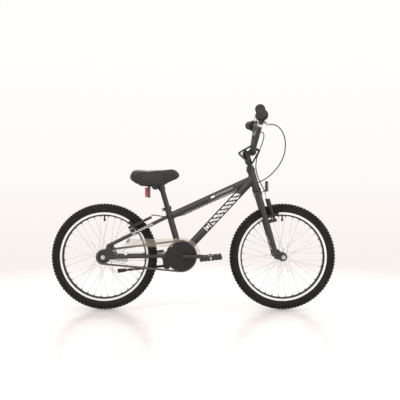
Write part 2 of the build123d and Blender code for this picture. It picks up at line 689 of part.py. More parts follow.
def coaster_strap():
    """A strap round the left chainstay, with a tab and a bolt that hold the brake arm."""
    top_y = REAR_HUB_SPACING / 2 - 0.4
    stay_y = 38.5 + (57.5 - 38.5) * (328 - 200) / 184
    direction = Vector(-184, 19, -2).normalized()
    middle = Vector(-328, stay_y, 254.6)
    band_plane = Plane(origin=middle, z_dir=direction)
    band = band_plane * (Cylinder(10, 12) - Cylinder(8.5, 13))
    tab = slab([(-335, 222), (-321, 222), (-321, 246), (-335, 246)], top_y, top_y + 2)
    tab = tab - band_plane * Cylinder(8.5, 40) - disc_y((-328, 229), 3.1, top_y - 1, top_y + 3)
    bolt = disc_y((-328, 229), 3, top_y - 5.5, top_y + 3) + disc_y((-328, 229), 6, top_y + 2, top_y + 6)
    return [band + tab, bolt]


KICK_PIVOT = (-128.0, 39.0, 205.0)
KICK_AXIS = (0.352, -0.855, -0.381)
KICK_LENGTH = 240.0


def kick_plane():
    """The kickstand's hinge, with Z along the pivot pin, outward."""
    return Plane(origin=KICK_PIVOT, z_dir=(-KICK_AXIS[0], -KICK_AXIS[1], -KICK_AXIS[2]))


def kickstand_bracket():
    """A block clamped under the chainstays behind the bottom bracket, with a lug for the leg."""
    top = Pos(-132, 2, 266.5) * Box(40, 50, 4)
    plate = Pos(-132, 2, 245.5) * Box(40, 56, 5)
    bolt = rod((-132, 0, 243), (-132, 0, 268.5), 4)
    bolt_head = rod((-132, 0, 268.5), (-132, 0, 273), 7)
    lug = slab([(-150, 243), (-112, 243), (-116, 205), (-122, 193), (-134, 190), (-144, 197)], 17, 25)
    pin_base = kick_plane() * Pos(0, 0, -13) * Cylinder(10, 9)
    body = plate + bolt + bolt_head + lug + pin_base
    body += kick_plane() * Cylinder(5, 26)
    stays = [swept(round_route([(-84, s * 19.5, 258), (-142, s * 26.5, 257), (-200, s * 38.5, 256)]), 8.6) for s in (-1, 1)]
    return [body - stays, top - bolt - stays]


def kickstand_leg():
    """The leg with its eye and a rubber foot, folded rearward under the chainstay."""
    foot_end = Vector(-368, 53, 178)
    pivot = Vector(*KICK_PIVOT)
    run = (foot_end - pivot).normalized()
    eye = kick_plane() * Cylinder(11, 15)
    start = pivot + run * 6
    end = pivot + run * (KICK_LENGTH - 22)
    leg = eye + rod(start, end, 6.5)
    leg -= kick_plane() * Cylinder(5.05, 40)
    foot = taper((end - run * 14), foot_end, 8.6, 10.5)
    foot -= rod((end - run * 20), end, 6.5)
    return [leg, foot]


# ---------------------------------------------------------------- saddle
SADDLE_PIVOT = (-183.0, 586.0)
SADDLE_SIDE = [
    (-301, 631), (-298, 650), (-288, 665), (-262, 669), (-213, 665), (-150, 668), (-99, 671), (-78, 663),
    (-67, 641), (-72, 629), (-103, 624), (-131, 614), (-201, 592), (-242, 592), (-268, 600), (-294, 618),
]
SADDLE_PLAN = [
    (-301, 30), (-297, 56), (-280, 74), (-256, 78), (-228, 68), (-190, 40), (-150, 25), (-110, 21),
    (-80, 17), (-67, 8),
]


def saddle_plan(inset):
    """The saddle's outline seen from above, pulled in by inset, as a tall solid."""
    right = [(x, -(y - inset)) for x, y in SADDLE_PLAN]
    left = [(x, y - inset) for x, y in reversed(SADDLE_PLAN)]
    outline = make_face(Polyline(*[(x, y, 580) for x, y in right + left], close=True))
    return extrude(outline, amount=110, dir=(0, 0, 1))


def saddle_floor(thickness):
    """The space under the saddle's shell, down from its underside."""
    top = thickness
    return slab([(-330, 618 + top), (-150, 614 + top), (-92, 632 + top), (-40, 640 + top), (-40, 570), (-330, 570)],
                -100, 100)


def saddle_cover():
    whole = common(slab(SADDLE_SIDE, -100, 100), saddle_plan(0))
    return whole - common(saddle_floor(6), saddle_plan(7))


def saddle_base():
    whole = common(slab(SADDLE_SIDE, -100, 100), saddle_plan(7.2))
    return common(whole, saddle_floor(5.8)) - saddle_floor(0)


def saddle_rails():
    """Two wires under the saddle and the two clamp plates and bolt that grip them."""
    made = []
    for side in (-1, 1):
        runs = [(-276, side * 44, 617), (-252, side * 34, 594), (-200, side * 22, 590), (-150, side * 22, 592),
                (-94, side * 7, 627)]
        path = FilletPolyline(*runs, radius=10)
        made.append(swept(path, 3.5) - saddle_floor_solid())
    plates = []
    for side in (-1, 1):
        cheek = disc_y(SADDLE_PIVOT, 14, *sorted((side * 13.4, side * 27)))
        plates.append(cheek - made[0] - made[1] - disc_y(SADDLE_PIVOT, 4, -40, 40))
    bolt = disc_y(SADDLE_PIVOT, 4, -32, 32)
    for side in (-1, 1):
        head = Plane(origin=(SADDLE_PIVOT[0], side * 27, SADDLE_PIVOT[1]), z_dir=(0, side, 0))
        bolt += head * hexagon(7, 6)
    return made + plates + [bolt]


def saddle_floor_solid():
    """Everything above the underside of the saddle's base plate."""
    return slab([(-330, 618), (-150, 614), (-92, 632), (-40, 640), (-40, 700), (-330, 700)], -100, 100)


def seatpost():
    return SEAT * Pos(0, 0, SEATPOST_BOTTOM) * (
        Cylinder(SEATPOST_R, SEATPOST_TOP - SEATPOST_BOTTOM, align=(Align.CENTER, Align.CENTER, Align.MIN))
        - Cylinder(SEATPOST_R - 2, SEATPOST_TOP, align=(Align.CENTER, Align.CENTER, Align.MIN)))


def saddle_clamp():
    """A sleeve on the post with a barrel behind it, in which the saddle's clamp bolt turns."""
    sleeve = SEAT * Pos(0, 0, SEATPOST_TOP - 28) * Cylinder(
        SEATPOST_R + 3.5, 26, align=(Align.CENTER, Align.CENTER, Align.MIN))
    barrel = disc_y(SADDLE_PIVOT, 9, -13, 13)
    web = slab([(-183, 577), (-183, 595), (-160, 596), (-160, 574)], -8, 8)
    body = sleeve + barrel + web
    post = SEAT * Pos(0, 0, SEATPOST_BOTTOM) * Cylinder(SEATPOST_R, 400, align=(Align.CENTER, Align.CENTER, Align.MIN))
    return body - post - disc_y(SADDLE_PIVOT, 4.06, -20, 20)


def rear_reflector():
    """A red lens in a black housing that hangs from the rails."""
    lens = Pos(-222.75, 0, 559.5) * Box(13.5, 56, 46)
    housing = Pos(-211, 0, 559.5) * Box(10, 62, 51)
    housing += slab([(-216, 584), (-207, 584), (-207, 594), (-216, 594)], -20, 20)
    rails = saddle_rails()
    return lens, housing - rails[0] - rails[1]


# ---------------------------------------------------------------- fork and steering column
LEG_TOP = 308.0
LEG_LOW = 12.0


def fork_crown():
    """The crown, its race and the steerer tube."""
    crown = STEER * Pos(0, 0, 311) * Box(34, 118, 18)
    crown = fillet(crown.edges().filter_by(lambda e: e.length < 40), 6)
    race = STEER * Pos(0, 0, HEAD_TUBE_LOW - 5 - 2 * BALL_R - 0.04) * Cylinder(
        18.6, 3, align=(Align.CENTER, Align.CENTER, Align.MAX))
    neck = STEER * Pos(0, 0, 319) * Cylinder(16, 3, align=(Align.CENTER, Align.CENTER, Align.MIN))
    steerer = STEER * Pos(0, 0, 303) * Cylinder(STEERER_R, 146, align=(Align.CENTER, Align.CENTER, Align.MIN))
    bore = STEER * Pos(0, 0, 325) * Cylinder(QUILL_R + 0.1, 140, align=(Align.CENTER, Align.CENTER, Align.MIN))
    return crown + race + neck + steerer - bore - fork_leg_cores()


def fork_leg_ends(side):
    top = STEER.from_local_coords(Vector(0, side * 46, LEG_TOP))
    low = STEER.from_local_coords(Vector(0, side * 57, LEG_LOW))
    return top, low


def fork_leg_cores():
    return [taper(*fork_leg_ends(side), 14, 11.5) for side in (-1, 1)]


def fork_legs():
    """Two tapered legs, each with a dropout plate that carries the axle and a brake boss."""
    made = []
    rake = FRONT_AXLE[0] - STEER_X_AT_AXLE
    for side, leg in zip((-1, 1), fork_leg_cores()):
        ends = sorted((side * FRONT_HUB_SPACING / 2, side * (FRONT_HUB_SPACING / 2 + 6)))
        x, z = STEER_X_AT_AXLE, AXLE_Z
        plate = slab([(x - 16, z + 8), (x - 9, z - 7), (x + rake - 8, z - 15), (x + rake + 6, z - 15),
                      (x + rake + 15, z - 5), (x + rake + 14, z + 8), (x + rake, z + 15), (x + 6, z + 38),
                      (x - 18, z + 42)], *ends)
        boss = FRONT_BRAKE.from_local_coords(Vector(-26, side * (FRONT_BOSS_Y + 1), BRAKE_BOSS_R))
        tip = FRONT_BRAKE.from_local_coords(Vector(1, side * FRONT_BOSS_Y, BRAKE_BOSS_R))
        leg = leg + plate + rod(boss, tip, 6.5)
        root = FRONT_BRAKE.from_local_coords(Vector(-9, side * FRONT_BOSS_Y, BRAKE_BOSS_R))
        leg -= rod(root, (tip + (tip - root)), BRAKE_PIVOT_R)
        made.append(leg - disc_y((FRONT_AXLE[0], AXLE_Z), AXLE_R + 0.1, *ends))
    return made


def steer_point(forward, y, up):
    return STEER.from_local_coords(Vector(forward, y, up))


CLAMP_FORWARD = 30.9
CLAMP_UP = 511.3


def stem():
    """A quill stem whose clamp holds the bar, closed by a front cap."""
    body = rod(steer_point(0, 0, 392), steer_point(0, 0, 500), QUILL_R)
    body += rod(steer_point(0, 0, 462), steer_point(0, 0, 522), 16)
    bar = disc_y(BAR_CENTRE, BAR_R, -40, 40)
    block = STEER * Pos(15, 0, 508) * Box(30, 32, 24)
    clamp = disc_y(BAR_CENTRE, 18, -25, 25)
    body += block + clamp
    body -= bar
    split = STEER * Pos(CLAMP_FORWARD + 5, 0, CLAMP_UP) * Box(1.2, 60, 60)
    pieces = sorted((body - split).solids(), key=lambda piece: -piece.volume)
    return pieces[:2]


def top_bolt():
    """The long bolt's head on top of the stem."""
    return STEER * Pos(0, 0, 522) * hexagon(8, 6)


def bar_points(side):
    x, z = BAR_CENTRE
    return [(x, side * 52, z), (313, side * 190, 897), (291, side * BAR_HALF_WIDTH, 915)]


def bar_path():
    right = list(reversed(bar_points(-1)))
    return FilletPolyline(*(right + bar_points(1)), radius=42)


def handlebar():
    """A high BMX bar with a crossbar welded between its risers."""
    path = bar_path()
    bar = swept(path, BAR_R) - swept(path, BAR_R - 2)
    part = 0.62
    low, high = Vector(*bar_points(1)[0]), Vector(*bar_points(1)[1])
    weld = low + (high - low) * part
    cross = rod((weld.X, -weld.Y, weld.Z), (weld.X, weld.Y, weld.Z), 9.5)
    return bar + (cross - swept(path, BAR_R - 0.5))


def grip_run():
    end = Vector(*bar_points(1)[2])
    direction = (end - Vector(*bar_points(1)[1])).normalized()
    return end, direction


def grips():
    """Two closed rubber grips with an inner flange."""
    end, out = grip_run()
    start = end - out * GRIP_LENGTH
    grip = rod(start, (end + out * 4), GRIP_R)
    grip += rod(start, (start + out * 4), GRIP_R + 5)
    grip -= rod((start - out * 2), end, BAR_R)
    return [grip, mirrored(grip)]


def lever_plane():
    """The left lever's frame: X outward along the bar, Y forward and down, to the blade."""
    end, out = grip_run()
    origin = end - out * ((end.Y - LEVER_Y) / out.Y)
    reach = Vector(cos(radians(-62)), 0, sin(radians(-62)))
    normal = out.cross(reach).normalized()
    return Plane(origin=origin, x_dir=out, z_dir=normal)


LEVER_PIVOT = (-6.0, 27.0)


def lever_bracket():
    """A clamp round the bar with a forked body for the blade and a barrel for the cable."""
    body = Rot(0, 90, 0) * Cylinder(BAR_R + 4, 13)
    body += Pos(-5, 19, 0) * Box(20, 24, 17)
    body += Pos(-20, 30, 0) * Rot(0, 90, 0) * Cylinder(5, 20)
    body -= Rot(0, 90, 0) * Cylinder(BAR_R, 60)
    body -= Pos(LEVER_PIVOT[0] + 6, LEVER_PIVOT[1] + 4, 0) * Box(32, 24, 9)
    body += Pos(LEVER_PIVOT[0], LEVER_PIVOT[1], 0) * Cylinder(2.5, 17)
    return lever_plane() * body - swept(bar_path(), BAR_R)


def lever_blade():
    """The blade, one forged piece from its pivot to a rounded tip."""
    runs = [(LEVER_PIVOT[0], LEVER_PIVOT[1] + 3, 0), (6, 50, 0), (30, 57, 0), (88, 49, 0)]
    blade = swept(FilletPolyline(*runs, radius=9), 4)
    blade += Pos(88, 49, 0) * Sphere(5.5)
    eye = Pos(LEVER_PIVOT[0], LEVER_PIVOT[1], 0) * Cylinder(6, 8.2)
    blade += eye
    blade -= Pos(LEVER_PIVOT[0], LEVER_PIVOT[1], 0) * Cylinder(2.56, 30)
    return lever_plane() * blade


BELL_CENTRE = Vector(291, -163, 899)


def bell():
    """A small bell: base with a clamp round the riser, and a domed cap on a post."""
    low, high = Vector(*bar_points(-1)[0]), Vector(*bar_points(-1)[1])
    run = (high - low).normalized()
    at = low + run * ((BELL_CENTRE.Z - 30 - low.Z) / run.Z)
    clamp = Plane(origin=at, z_dir=run) * (Cylinder(BAR_R + 3, 14) - Cylinder(BAR_R, 20))
    face = Plane(origin=BELL_CENTRE, z_dir=(-1, 0, 0.1))
    base = face * Pos(0, 0, -3) * Cylinder(17, 3)
    post = rod(at, (face * Pos(0, 0, -3)).position, 4)
    post -= rod((at - run * 30), (at + run * 30), BAR_R + 2)
    dome = face * Pos(0, 0, 3.4) * (Cylinder(21.5, 6, align=(Align.CENTER, Align.CENTER, Align.MIN))
                                   - Cylinder(20.3, 5, align=(Align.CENTER, Align.CENTER, Align.MIN)))
    dome += face * Pos(0, 0, 9.4) * Cone(21.5, 12, 4, align=(Align.CENTER, Align.CENTER, Align.MIN))
    stalk = face * Pos(0, 0, -1.5) * Cylinder(3, 10, align=(Align.CENTER, Align.CENTER, Align.MIN))
    return [clamp + (post - base) + base + stalk, dome - stalk]


def bell_striker():
    """A thumb lever that turns on the bell's base and swings a hammer inside the dome."""
    face = Plane(origin=BELL_CENTRE, z_dir=(-1, 0, 0.1))
    arm = Pos(0, 0, 1.5) * Cylinder(5.5, 2.4) + Pos(15, 0, 1.5) * Box(30, 4, 2.4)
    return face * (arm - Pos(0, 0, 1.5) * Cylinder(3.06, 10))


STEM_PAD_SIDE = [(211, 748), (273, 783), (320, 759), (277, 686)]


def stem_pad():
    """A foam pad folded round the stem and open at both sides. The stem passes through its foot."""
    outer = make_face(Polyline(*[(x, 0, z) for x, z in STEM_PAD_SIDE], close=True))
    outer = fillet(outer.vertices(), 12)
    inner = offset(outer, amount=-8.5)
    band = extrude(outer, amount=31, both=True) - extrude(inner, amount=32, both=True)
    spaces = [
        rod(steer_point(0, 0, 380), steer_point(0, 0, 455), 20.5),
        rod(steer_point(0, 0, 380), steer_point(0, 0, 524), 16.4),
        rod(steer_point(0, 0, 500), steer_point(0, 0, 529), 8.5),
        disc_y(BAR_CENTRE, 18.3, -26, 26),
        swept(bar_path(), BAR_R + 0.3),
    ]
    return band - spaces


def front_reflector():
    lens = Pos(357, 0, 588) * Box(7, 56, 46)
    housing = Pos(349.5, 0, 588) * Box(8, 62, 50)
    return lens, housing


def reflector_bracket():
    """A bent strip from the crown up to the reflector's back."""
    foot = steer_point(17, 0, 311)
    x, z = foot.X, foot.Z
    strip = slab([(x - 1, z - 9), (x + 2, z - 9), (x + 2, z + 1), (345.5, 567), (345.5, 592), (343.5, 592),
                  (343.5, 569), (x - 1, z + 4)], -9, 9)
    return strip - fork_crown()


# ---------------------------------------------------------------- brakes and cables
def brake_arm(plane, side, x, pivot_y, pivot_z, top_y):
    """One V-brake arm with its pad: side is +1 or -1 in the plane's own Y."""
    top_z = pivot_z + BRAKE_ARM_LENGTH
    outline = [(pivot_y - 7, pivot_z - 7), (pivot_y + 7, pivot_z - 7), (pivot_y + 8, pivot_z + 30),
               (top_y + 5, top_z - 20), (top_y + 5, top_z), (top_y - 5, top_z), (top_y - 5, top_z - 20),
               (pivot_y - 6, pivot_z + 30)]
    face = make_face(Polyline(*[(x, side * y, z) for y, z in outline], close=True))
    arm = extrude(face, amount=6, both=True, dir=(1, 0, 0))
    arm -= rod((x - 10, side * pivot_y, pivot_z), (x + 10, side * pivot_y, pivot_z), BRAKE_PIVOT_R + 0.05)
    arm -= rod((x, side * (top_y - 20), top_z - 7), (x, side * (top_y + 20), top_z - 7), 3)
    pad_z = sqrt(PAD_R ** 2 - x ** 2)
    near = RIM_HALF_WIDTH + PAD_GAP
    ring = ring_y((0, 0), PAD_R + 4.8, PAD_R - 4.8, *sorted((side * near, side * (near + 9))))
    angle = degrees(asin(x / PAD_R))
    pad = common(ring, Rot(0, angle, 0) * Pos(0, 0, PAD_R) * Box(62, 100, 30))
    post = rod((x, side * (near + 8), pad_z), (x, side * (pivot_y + 14), pad_z), 3)
    return [plane * (arm - post), plane * (pad - post), plane * post]


REAR_ARM_X = STAY_OFFSET + 32
FRONT_ARM_X = 8.0
REAR_PIVOT_Z = sqrt(BRAKE_BOSS_R ** 2 - STAY_OFFSET ** 2)


def rear_brake_arm(world_side):
    return brake_arm(REAR_BRAKE, -world_side, REAR_ARM_X, REAR_BOSS_Y, REAR_PIVOT_Z, 47)


def front_brake_arm(world_side):
    return brake_arm(FRONT_BRAKE, world_side, FRONT_ARM_X, FRONT_BOSS_Y, BRAKE_BOSS_R, 50)


def brake_stud(plane, side, x, back, pivot_y, pivot_z):
    """The stud that one brake arm turns on, with its bolt head in front."""
    stud = rod((back, side * pivot_y, pivot_z), (x + 6.5, side * pivot_y, pivot_z), BRAKE_PIVOT_R)
    head = rod((x + 6.5, side * pivot_y, pivot_z), (x + 11, side * pivot_y, pivot_z), 6.5)
    return plane * (stud + head)


def arm_top(plane, x, y, pivot_z):
    """The world point of the wire's hole in an arm's top."""
    return plane.from_local_coords(Vector(x, y, pivot_z + BRAKE_ARM_LENGTH - 7))


def wire_and_boot(left, right):
    """The bare wire through both arm tops, with a folded rubber boot over it and an anchor."""
    run = (right - left).normalized()
    wire = rod(left, (right + run * 9), WIRE_R)
    span = (right - left).length
    boot = None
    for i in range(6):
        start = left + run * (14 + i * (span - 28) / 6)
        end = left + run * (14 + (i + 0.5) * (span - 28) / 6)
        last = left + run * (14 + (i + 1) * (span - 28) / 6)
        fold = taper(start, end, 3.2, 5.2) + taper(end, last, 5.2, 3.2)
        boot = fold if boot is None else boot + fold
    return wire + boot


REAR_LOOP = [
    (374, -158, 868), (404, -140, 848), (424, -112, 815), (432, -82, 772), (427, -50, 728), (410, -22, 690),
    (386, 2, 658), (356, 18, 630), (322, 26, 611), (286, 25, 598),
]
REAR_RUN = [
    (250, 24, 585), (216, 23, 571), (184, 14, 557), (152, 2, 541), (100, -2, 519), (50, 0, 496),
    (0, 0, 473), (-44, 8, 452), (-84, 21, 443), (-124, 27, 441), (-162, 38, 445), (-186, 56, 450), (-203, 69, 449),
]
FRONT_RUN = [
    (354, 176, 862), (352, 150, 834), (338, 124, 797), (322, 106, 760), (309, 92, 722), (305, 82, 684),
    (310, 74, 648), (324, 69, 612), (341, 69, 580), (352, 70, 556),
]


def cable_start(mirror_it):
    """Where a cable leaves its lever's barrel, and a point further along its line."""
    plane = lever_plane()
    mouth = plane.from_local_coords(Vector(-30, 30, 0))
    ahead = plane.from_local_coords(Vector(-50, 30, 0))
    sign = -1 if mirror_it else 1
    return (mouth.X, sign * mouth.Y, mouth.Z), (ahead.X, sign * ahead.Y, ahead.Z)


def rear_cable_loop():
    start, ahead = cable_start(True)
    return cord([start, ahead] + REAR_LOOP, CABLE_R)


def noodle(entry, arm):
    """A short bent metal tube that turns the cable into the side of a brake arm."""
    out = Vector(arm.X, arm.Y + 9, arm.Z)
    corner = Vector(arm.X, arm.Y + 20, arm.Z)
    a, b = Vector(*entry), corner
    path = FilletPolyline(a, b, out, radius=9)
    return swept(path, 2.4)


def rear_brake_cable():
    """The housing clipped to the frame, the noodle, the wire and its boot."""
    left = arm_top(REAR_BRAKE, REAR_ARM_X, -47, REAR_PIVOT_Z)
    right = arm_top(REAR_BRAKE, REAR_ARM_X, 47, REAR_PIVOT_Z)
    housing = cord([REAR_LOOP[-1]] + REAR_RUN, CABLE_R)
    tube = noodle(REAR_RUN[-1], left)
    return [housing, tube, wire_and_boot(left + Vector(0, 8.9, 0), right)]


def front_brake_cable():
    left = arm_top(FRONT_BRAKE, FRONT_ARM_X, 50, BRAKE_BOSS_R)
    right = arm_top(FRONT_BRAKE, FRONT_ARM_X, -50, BRAKE_BOSS_R)
    start, ahead = cable_start(False)
    housing = cord([start, ahead] + FRONT_RUN, CABLE_R)
    tube = noodle(FRONT_RUN[-1], left)
    return [housing, tube, wire_and_boot(left + Vector(0, 8.9, 0), right)]


def cable_clip(before, at, tube_start, tube_end, tube_r):
    """A band round the cable at a point of its route, joined to a frame tube."""
    here = Vector(*at)
    run = (here - Vector(*before)).normalized()
    ring = Plane(origin=here, z_dir=run) * Cylinder(CABLE_R + 1.6, 8)
    a, b = Vector(*tube_start), Vector(*tube_end)
    line = (b - a).normalized()
    foot = a + line * (here - a).dot(line)
    arm = rod(here, foot, 3)
    clip = ring + arm
    return clip - rod(tube_start, tube_end, tube_r)


# ---------------------------------------------------------------- the whole bicycle
def save_frame():
    stays = chainstays()
    save("head_tube", head_tube())
    save("top_tube", top_tube())
    save("down_tube", down_tube())
    save("seat_tube", seat_tube())
    shell = ring_y((BB_X, BB_Z), BB_SHELL_R, BB_BORE_R, -BB_HALF_WIDTH, BB_HALF_WIDTH)
    save("bottom_bracket_shell", shell)
    save("chainstays", stays)
    save("seatstays", seatstays(stays))
    save("bearing_cups", bearing_cups())
    save("bearing_balls", bearing_balls())
    save("seat_clamp", seat_clamp())
    guard = chain_guard()
    brackets = guard_brackets()
    upper = seatstays(stays)
    save("chain_guard", guard)
    arm = coaster_brake_arm()
    save("coaster_brake_arm", arm)
    cable = rear_brake_cable()
    save("rear_brake_cable", cable)
    bolts = seat_clamp_bolt() + [piece - stays for piece in coaster_strap()]
    bolts += [brackets[0] - upper - guard, brackets[1] - seat_tube_outer() - guard]
    for side in (-1, 1):
        bolts.append(brake_stud(REAR_BRAKE, side, REAR_ARM_X, STAY_OFFSET + 14, REAR_BOSS_Y, REAR_PIVOT_Z))
    top_line = ((TOP_TUBE_REAR[0], 0, TOP_TUBE_REAR[1]), (HEAD_JOINT[0], 0, HEAD_JOINT[1]), TOP_TUBE_R)
    for i in (5, 6):
        bolts.append(cable_clip(REAR_RUN[i - 1], REAR_RUN[i], *top_line) - cable[0])
    bolts.append(cable_clip(REAR_LOOP[-1], REAR_RUN[0], *down_tube_ends(), DOWN_TUBE_R) - cable[0] - top_tube())
    save("frame_fasteners", bolts)
    save("kickstand_bracket", kickstand_bracket())
    save("kickstand_leg", kickstand_leg())


def save_drive():
    save("chain", chain())
    save("chainring", chainring())
    save("chainring_guard", chainring_guard())
    save("rear_cog", rear_cog())
    save("crank", crank())
    save("pedal_axles", pedal_axles())
    save("pedal_right", pedal(-1))
    save("pedal_left", pedal(1))


def save_wheels():
    front = {"flange_r": 18.0, "flange_left": 29.0, "flange_right": -29.0}
    rear = {"flange_r": 26.0, "flange_left": 29.0, "flange_right": -25.0}
    for name, axle, flanges in (("front", FRONT_AXLE, front), ("rear", REAR_AXLE, rear)):
        save(name + "_tyre", [tyre(axle), inner_tube(axle)])
        save(name + "_rim", rim(axle))
        save(name + "_spokes", spokes(axle, **flanges))
    save("front_hub", hub(FRONT_AXLE, 40, 40, barrel_r=15, **front))
    save("rear_hub", hub(REAR_AXLE, 46, 33, barrel_r=22, **rear))
    save("front_axle", axle_set(FRONT_AXLE, FRONT_HUB_SPACING / 2, 40, 40, 6))
    save("rear_axle", axle_set(REAR_AXLE, REAR_HUB_SPACING / 2, 46, 33, 5))


def save_saddle():
    lens, housing = rear_reflector()
    save("seatpost", seatpost())
    save("saddle_clamp", saddle_clamp())
    save("saddle_rails", saddle_rails())
    save("saddle_base", saddle_base())
    save("saddle_cover", saddle_cover())
    save("rear_reflector", [lens, housing])


def save_steering():
    lens, housing = front_reflector()
    save("fork_crown", fork_crown())
    save("fork_legs", fork_legs())
    save("stem", stem())
    save("handlebar", handlebar())
    save("grips", grips())
    bracket = lever_bracket()
    save("lever_brackets", [bracket, mirrored(bracket)])
    blade = lever_blade()
    save("brake_lever_left", blade)
    save("brake_lever_right", mirrored(blade))
    save("bell", bell())
    save("bell_striker", bell_striker())
    save("stem_pad", stem_pad())
    save("front_reflector", lens)
    save("front_reflector_bracket", [housing, reflector_bracket()])
    save("front_brake_cable", front_brake_cable())
    save("rear_cable_loop", rear_cable_loop())
    top = HEAD_TUBE_HIGH + 5 + 2 * BALL_R + 0.04
    race = STEER * Pos(0, 0, top) * (Cylinder(18.6, 4, align=(Align.CENTER, Align.CENTER, Align.MIN))
                                    - Cylinder(STEERER_R, 20))
    nut = STEER * Pos(0, 0, top + 4.5) * (hexagon(18, 8) - Cylinder(STEERER_R, 40))
    bolts = [race, nut, top_bolt()]
    for side in (-1, 1):
        bolts.append(brake_stud(FRONT_BRAKE, side, FRONT_ARM_X, -9, FRONT_BOSS_Y, BRAKE_BOSS_R))
    save("fork_fasteners", bolts)


def save_brakes():
    save("rear_brake_arm_left", rear_brake_arm(1))
    save("rear_brake_arm_right", rear_brake_arm(-1))
    save("front_brake_arm_left", front_brake_arm(1))
    save("front_brake_arm_right", front_brake_arm(-1))


os.makedirs("parts", exist_ok=True)
save_frame()
save_drive()
save_wheels()
save_saddle()
save_steering()
save_brakes()
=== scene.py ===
from math import cos, pi, radians, sin, sqrt

import bmesh
import bpy
from mathutils import Matrix, Vector
from mathutils.geometry import interpolate_bezier


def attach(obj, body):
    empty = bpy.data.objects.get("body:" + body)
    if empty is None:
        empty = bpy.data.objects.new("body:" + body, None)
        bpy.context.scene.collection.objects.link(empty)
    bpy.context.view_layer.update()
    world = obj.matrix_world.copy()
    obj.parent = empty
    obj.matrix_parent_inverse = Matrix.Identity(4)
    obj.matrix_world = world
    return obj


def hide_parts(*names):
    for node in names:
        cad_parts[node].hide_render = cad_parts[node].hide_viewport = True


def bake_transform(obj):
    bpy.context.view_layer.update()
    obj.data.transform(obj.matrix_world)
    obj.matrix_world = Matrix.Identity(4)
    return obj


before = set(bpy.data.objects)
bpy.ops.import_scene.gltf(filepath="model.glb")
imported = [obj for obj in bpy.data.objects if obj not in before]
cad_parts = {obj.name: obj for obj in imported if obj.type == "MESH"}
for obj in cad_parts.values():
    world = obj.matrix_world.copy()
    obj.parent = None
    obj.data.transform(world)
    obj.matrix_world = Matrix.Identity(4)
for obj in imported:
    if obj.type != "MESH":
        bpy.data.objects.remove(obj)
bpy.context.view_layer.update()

MM = 0.001
AXLE_X = 0.425
AXLE_Z = 0.253


def mm(*values):
    """A point given in millimetres, in metres."""
    return Vector([v * MM for v in values])


# Where the frame's tubes meet, on its centre plane. The head tube and the seat tube lean back alike.
BB_CENTRE = mm(-59, 0, 258)
HEAD_JOINT = mm(286, 0, 626.5)
TOP_REAR = mm(-102, 0, 449)
STAY_LOW = mm(-395, 0, 310)
STAY_HIGH = mm(-131, 0, 440)
LEAN = Vector((-0.27564, 0, 0.96126))


# ---------------------------------------------------------------- materials
class Look:
    """A material being built: one Principled shader with procedural nodes in front of it."""

    def __init__(self, name, **sockets):
        self.material = bpy.data.materials.new(name)
        self.material.use_nodes = True
        self.tree = self.material.node_tree
        self.shader = self.tree.nodes["Principled BSDF"]
        for socket, value in sockets.items():
            self.shader.inputs[socket.replace("_", " ")].default_value = value
        self.place = self.tree.nodes.new("ShaderNodeTexCoord").outputs["Object"]
        split = self.tree.nodes.new("ShaderNodeSeparateXYZ")
        self.tree.links.new(self.place, split.inputs[0])
        self.x, self.y, self.z = split.outputs
        self.normal = None

    def put(self, socket, value):
        if hasattr(value, "links"):
            self.tree.links.new(value, socket)
        else:
            socket.default_value = value

    def math(self, operation, *values):
        node = self.tree.nodes.new("ShaderNodeMath")
        node.operation = operation
        for socket, value in zip(node.inputs, values):
            self.put(socket, value)
        return node.outputs[0]

    def times(self, first, second):
        return self.math("MULTIPLY", first, second)

    def distance(self, first, second):
        """The hypotenuse over two values."""
        return self.math("SQRT", self.math("ADD", self.times(first, first), self.times(second, second)))

    def noise(self, scale, detail=3.0, stretch=None):
        node = self.tree.nodes.new("ShaderNodeTexNoise")
        node.inputs["Scale"].default_value = scale
        node.inputs["Detail"].default_value = detail
        self.put(node.inputs["Vector"], self.stretched(stretch) if stretch else self.place)
        return node.outputs["Fac"]

    def cells(self, scale, feature="F1"):
        node = self.tree.nodes.new("ShaderNodeTexVoronoi")
        node.feature = feature
        node.inputs["Scale"].default_value = scale
        self.put(node.inputs["Vector"], self.place)
        return node.outputs["Distance"]

    def stretched(self, scale):
        node = self.tree.nodes.new("ShaderNodeMapping")
        node.inputs["Scale"].default_value = scale
        self.put(node.inputs["Vector"], self.place)
        return node.outputs[0]

    def ramp(self, value, low, high, start=0.0, end=1.0):
        node = self.tree.nodes.new("ShaderNodeMapRange")
        node.interpolation_type = "SMOOTHSTEP"
        for socket, number in zip(node.inputs, (value, low, high, start, end)):
            self.put(socket, number)
        return node.outputs[0]

    def between(self, value, low, high, soft=0.0002):
        rise = self.ramp(value, low - soft, low + soft)
        fall = self.ramp(value, high - soft, high + soft, 1.0, 0.0)
        return self.times(rise, fall)

    def mix(self, factor, first, second):
        node = self.tree.nodes.new("ShaderNodeMix")
        node.data_type = "RGBA"
        for socket, value in zip((node.inputs["Factor"], node.inputs[6], node.inputs[7]), (factor, first, second)):
            self.put(socket, value)
        return node.outputs[2]

    def bump(self, height, distance, strength=1.0):
        node = self.tree.nodes.new("ShaderNodeBump")
        node.inputs["Distance"].default_value = distance
        node.inputs["Strength"].default_value = strength
        self.put(node.inputs["Height"], height)
        if self.normal:
            self.put(node.inputs["Normal"], self.normal)
        self.normal = node.outputs[0]

    def done(self, colour, rough):
        self.put(self.shader.inputs["Base Color"], colour)
        self.put(self.shader.inputs["Roughness"], rough)
        if self.normal:
            self.put(self.shader.inputs["Normal"], self.normal)
        return self.material


def rgb(r, g, b, factor=1.0):
    return (r * factor, g * factor, b * factor, 1.0)


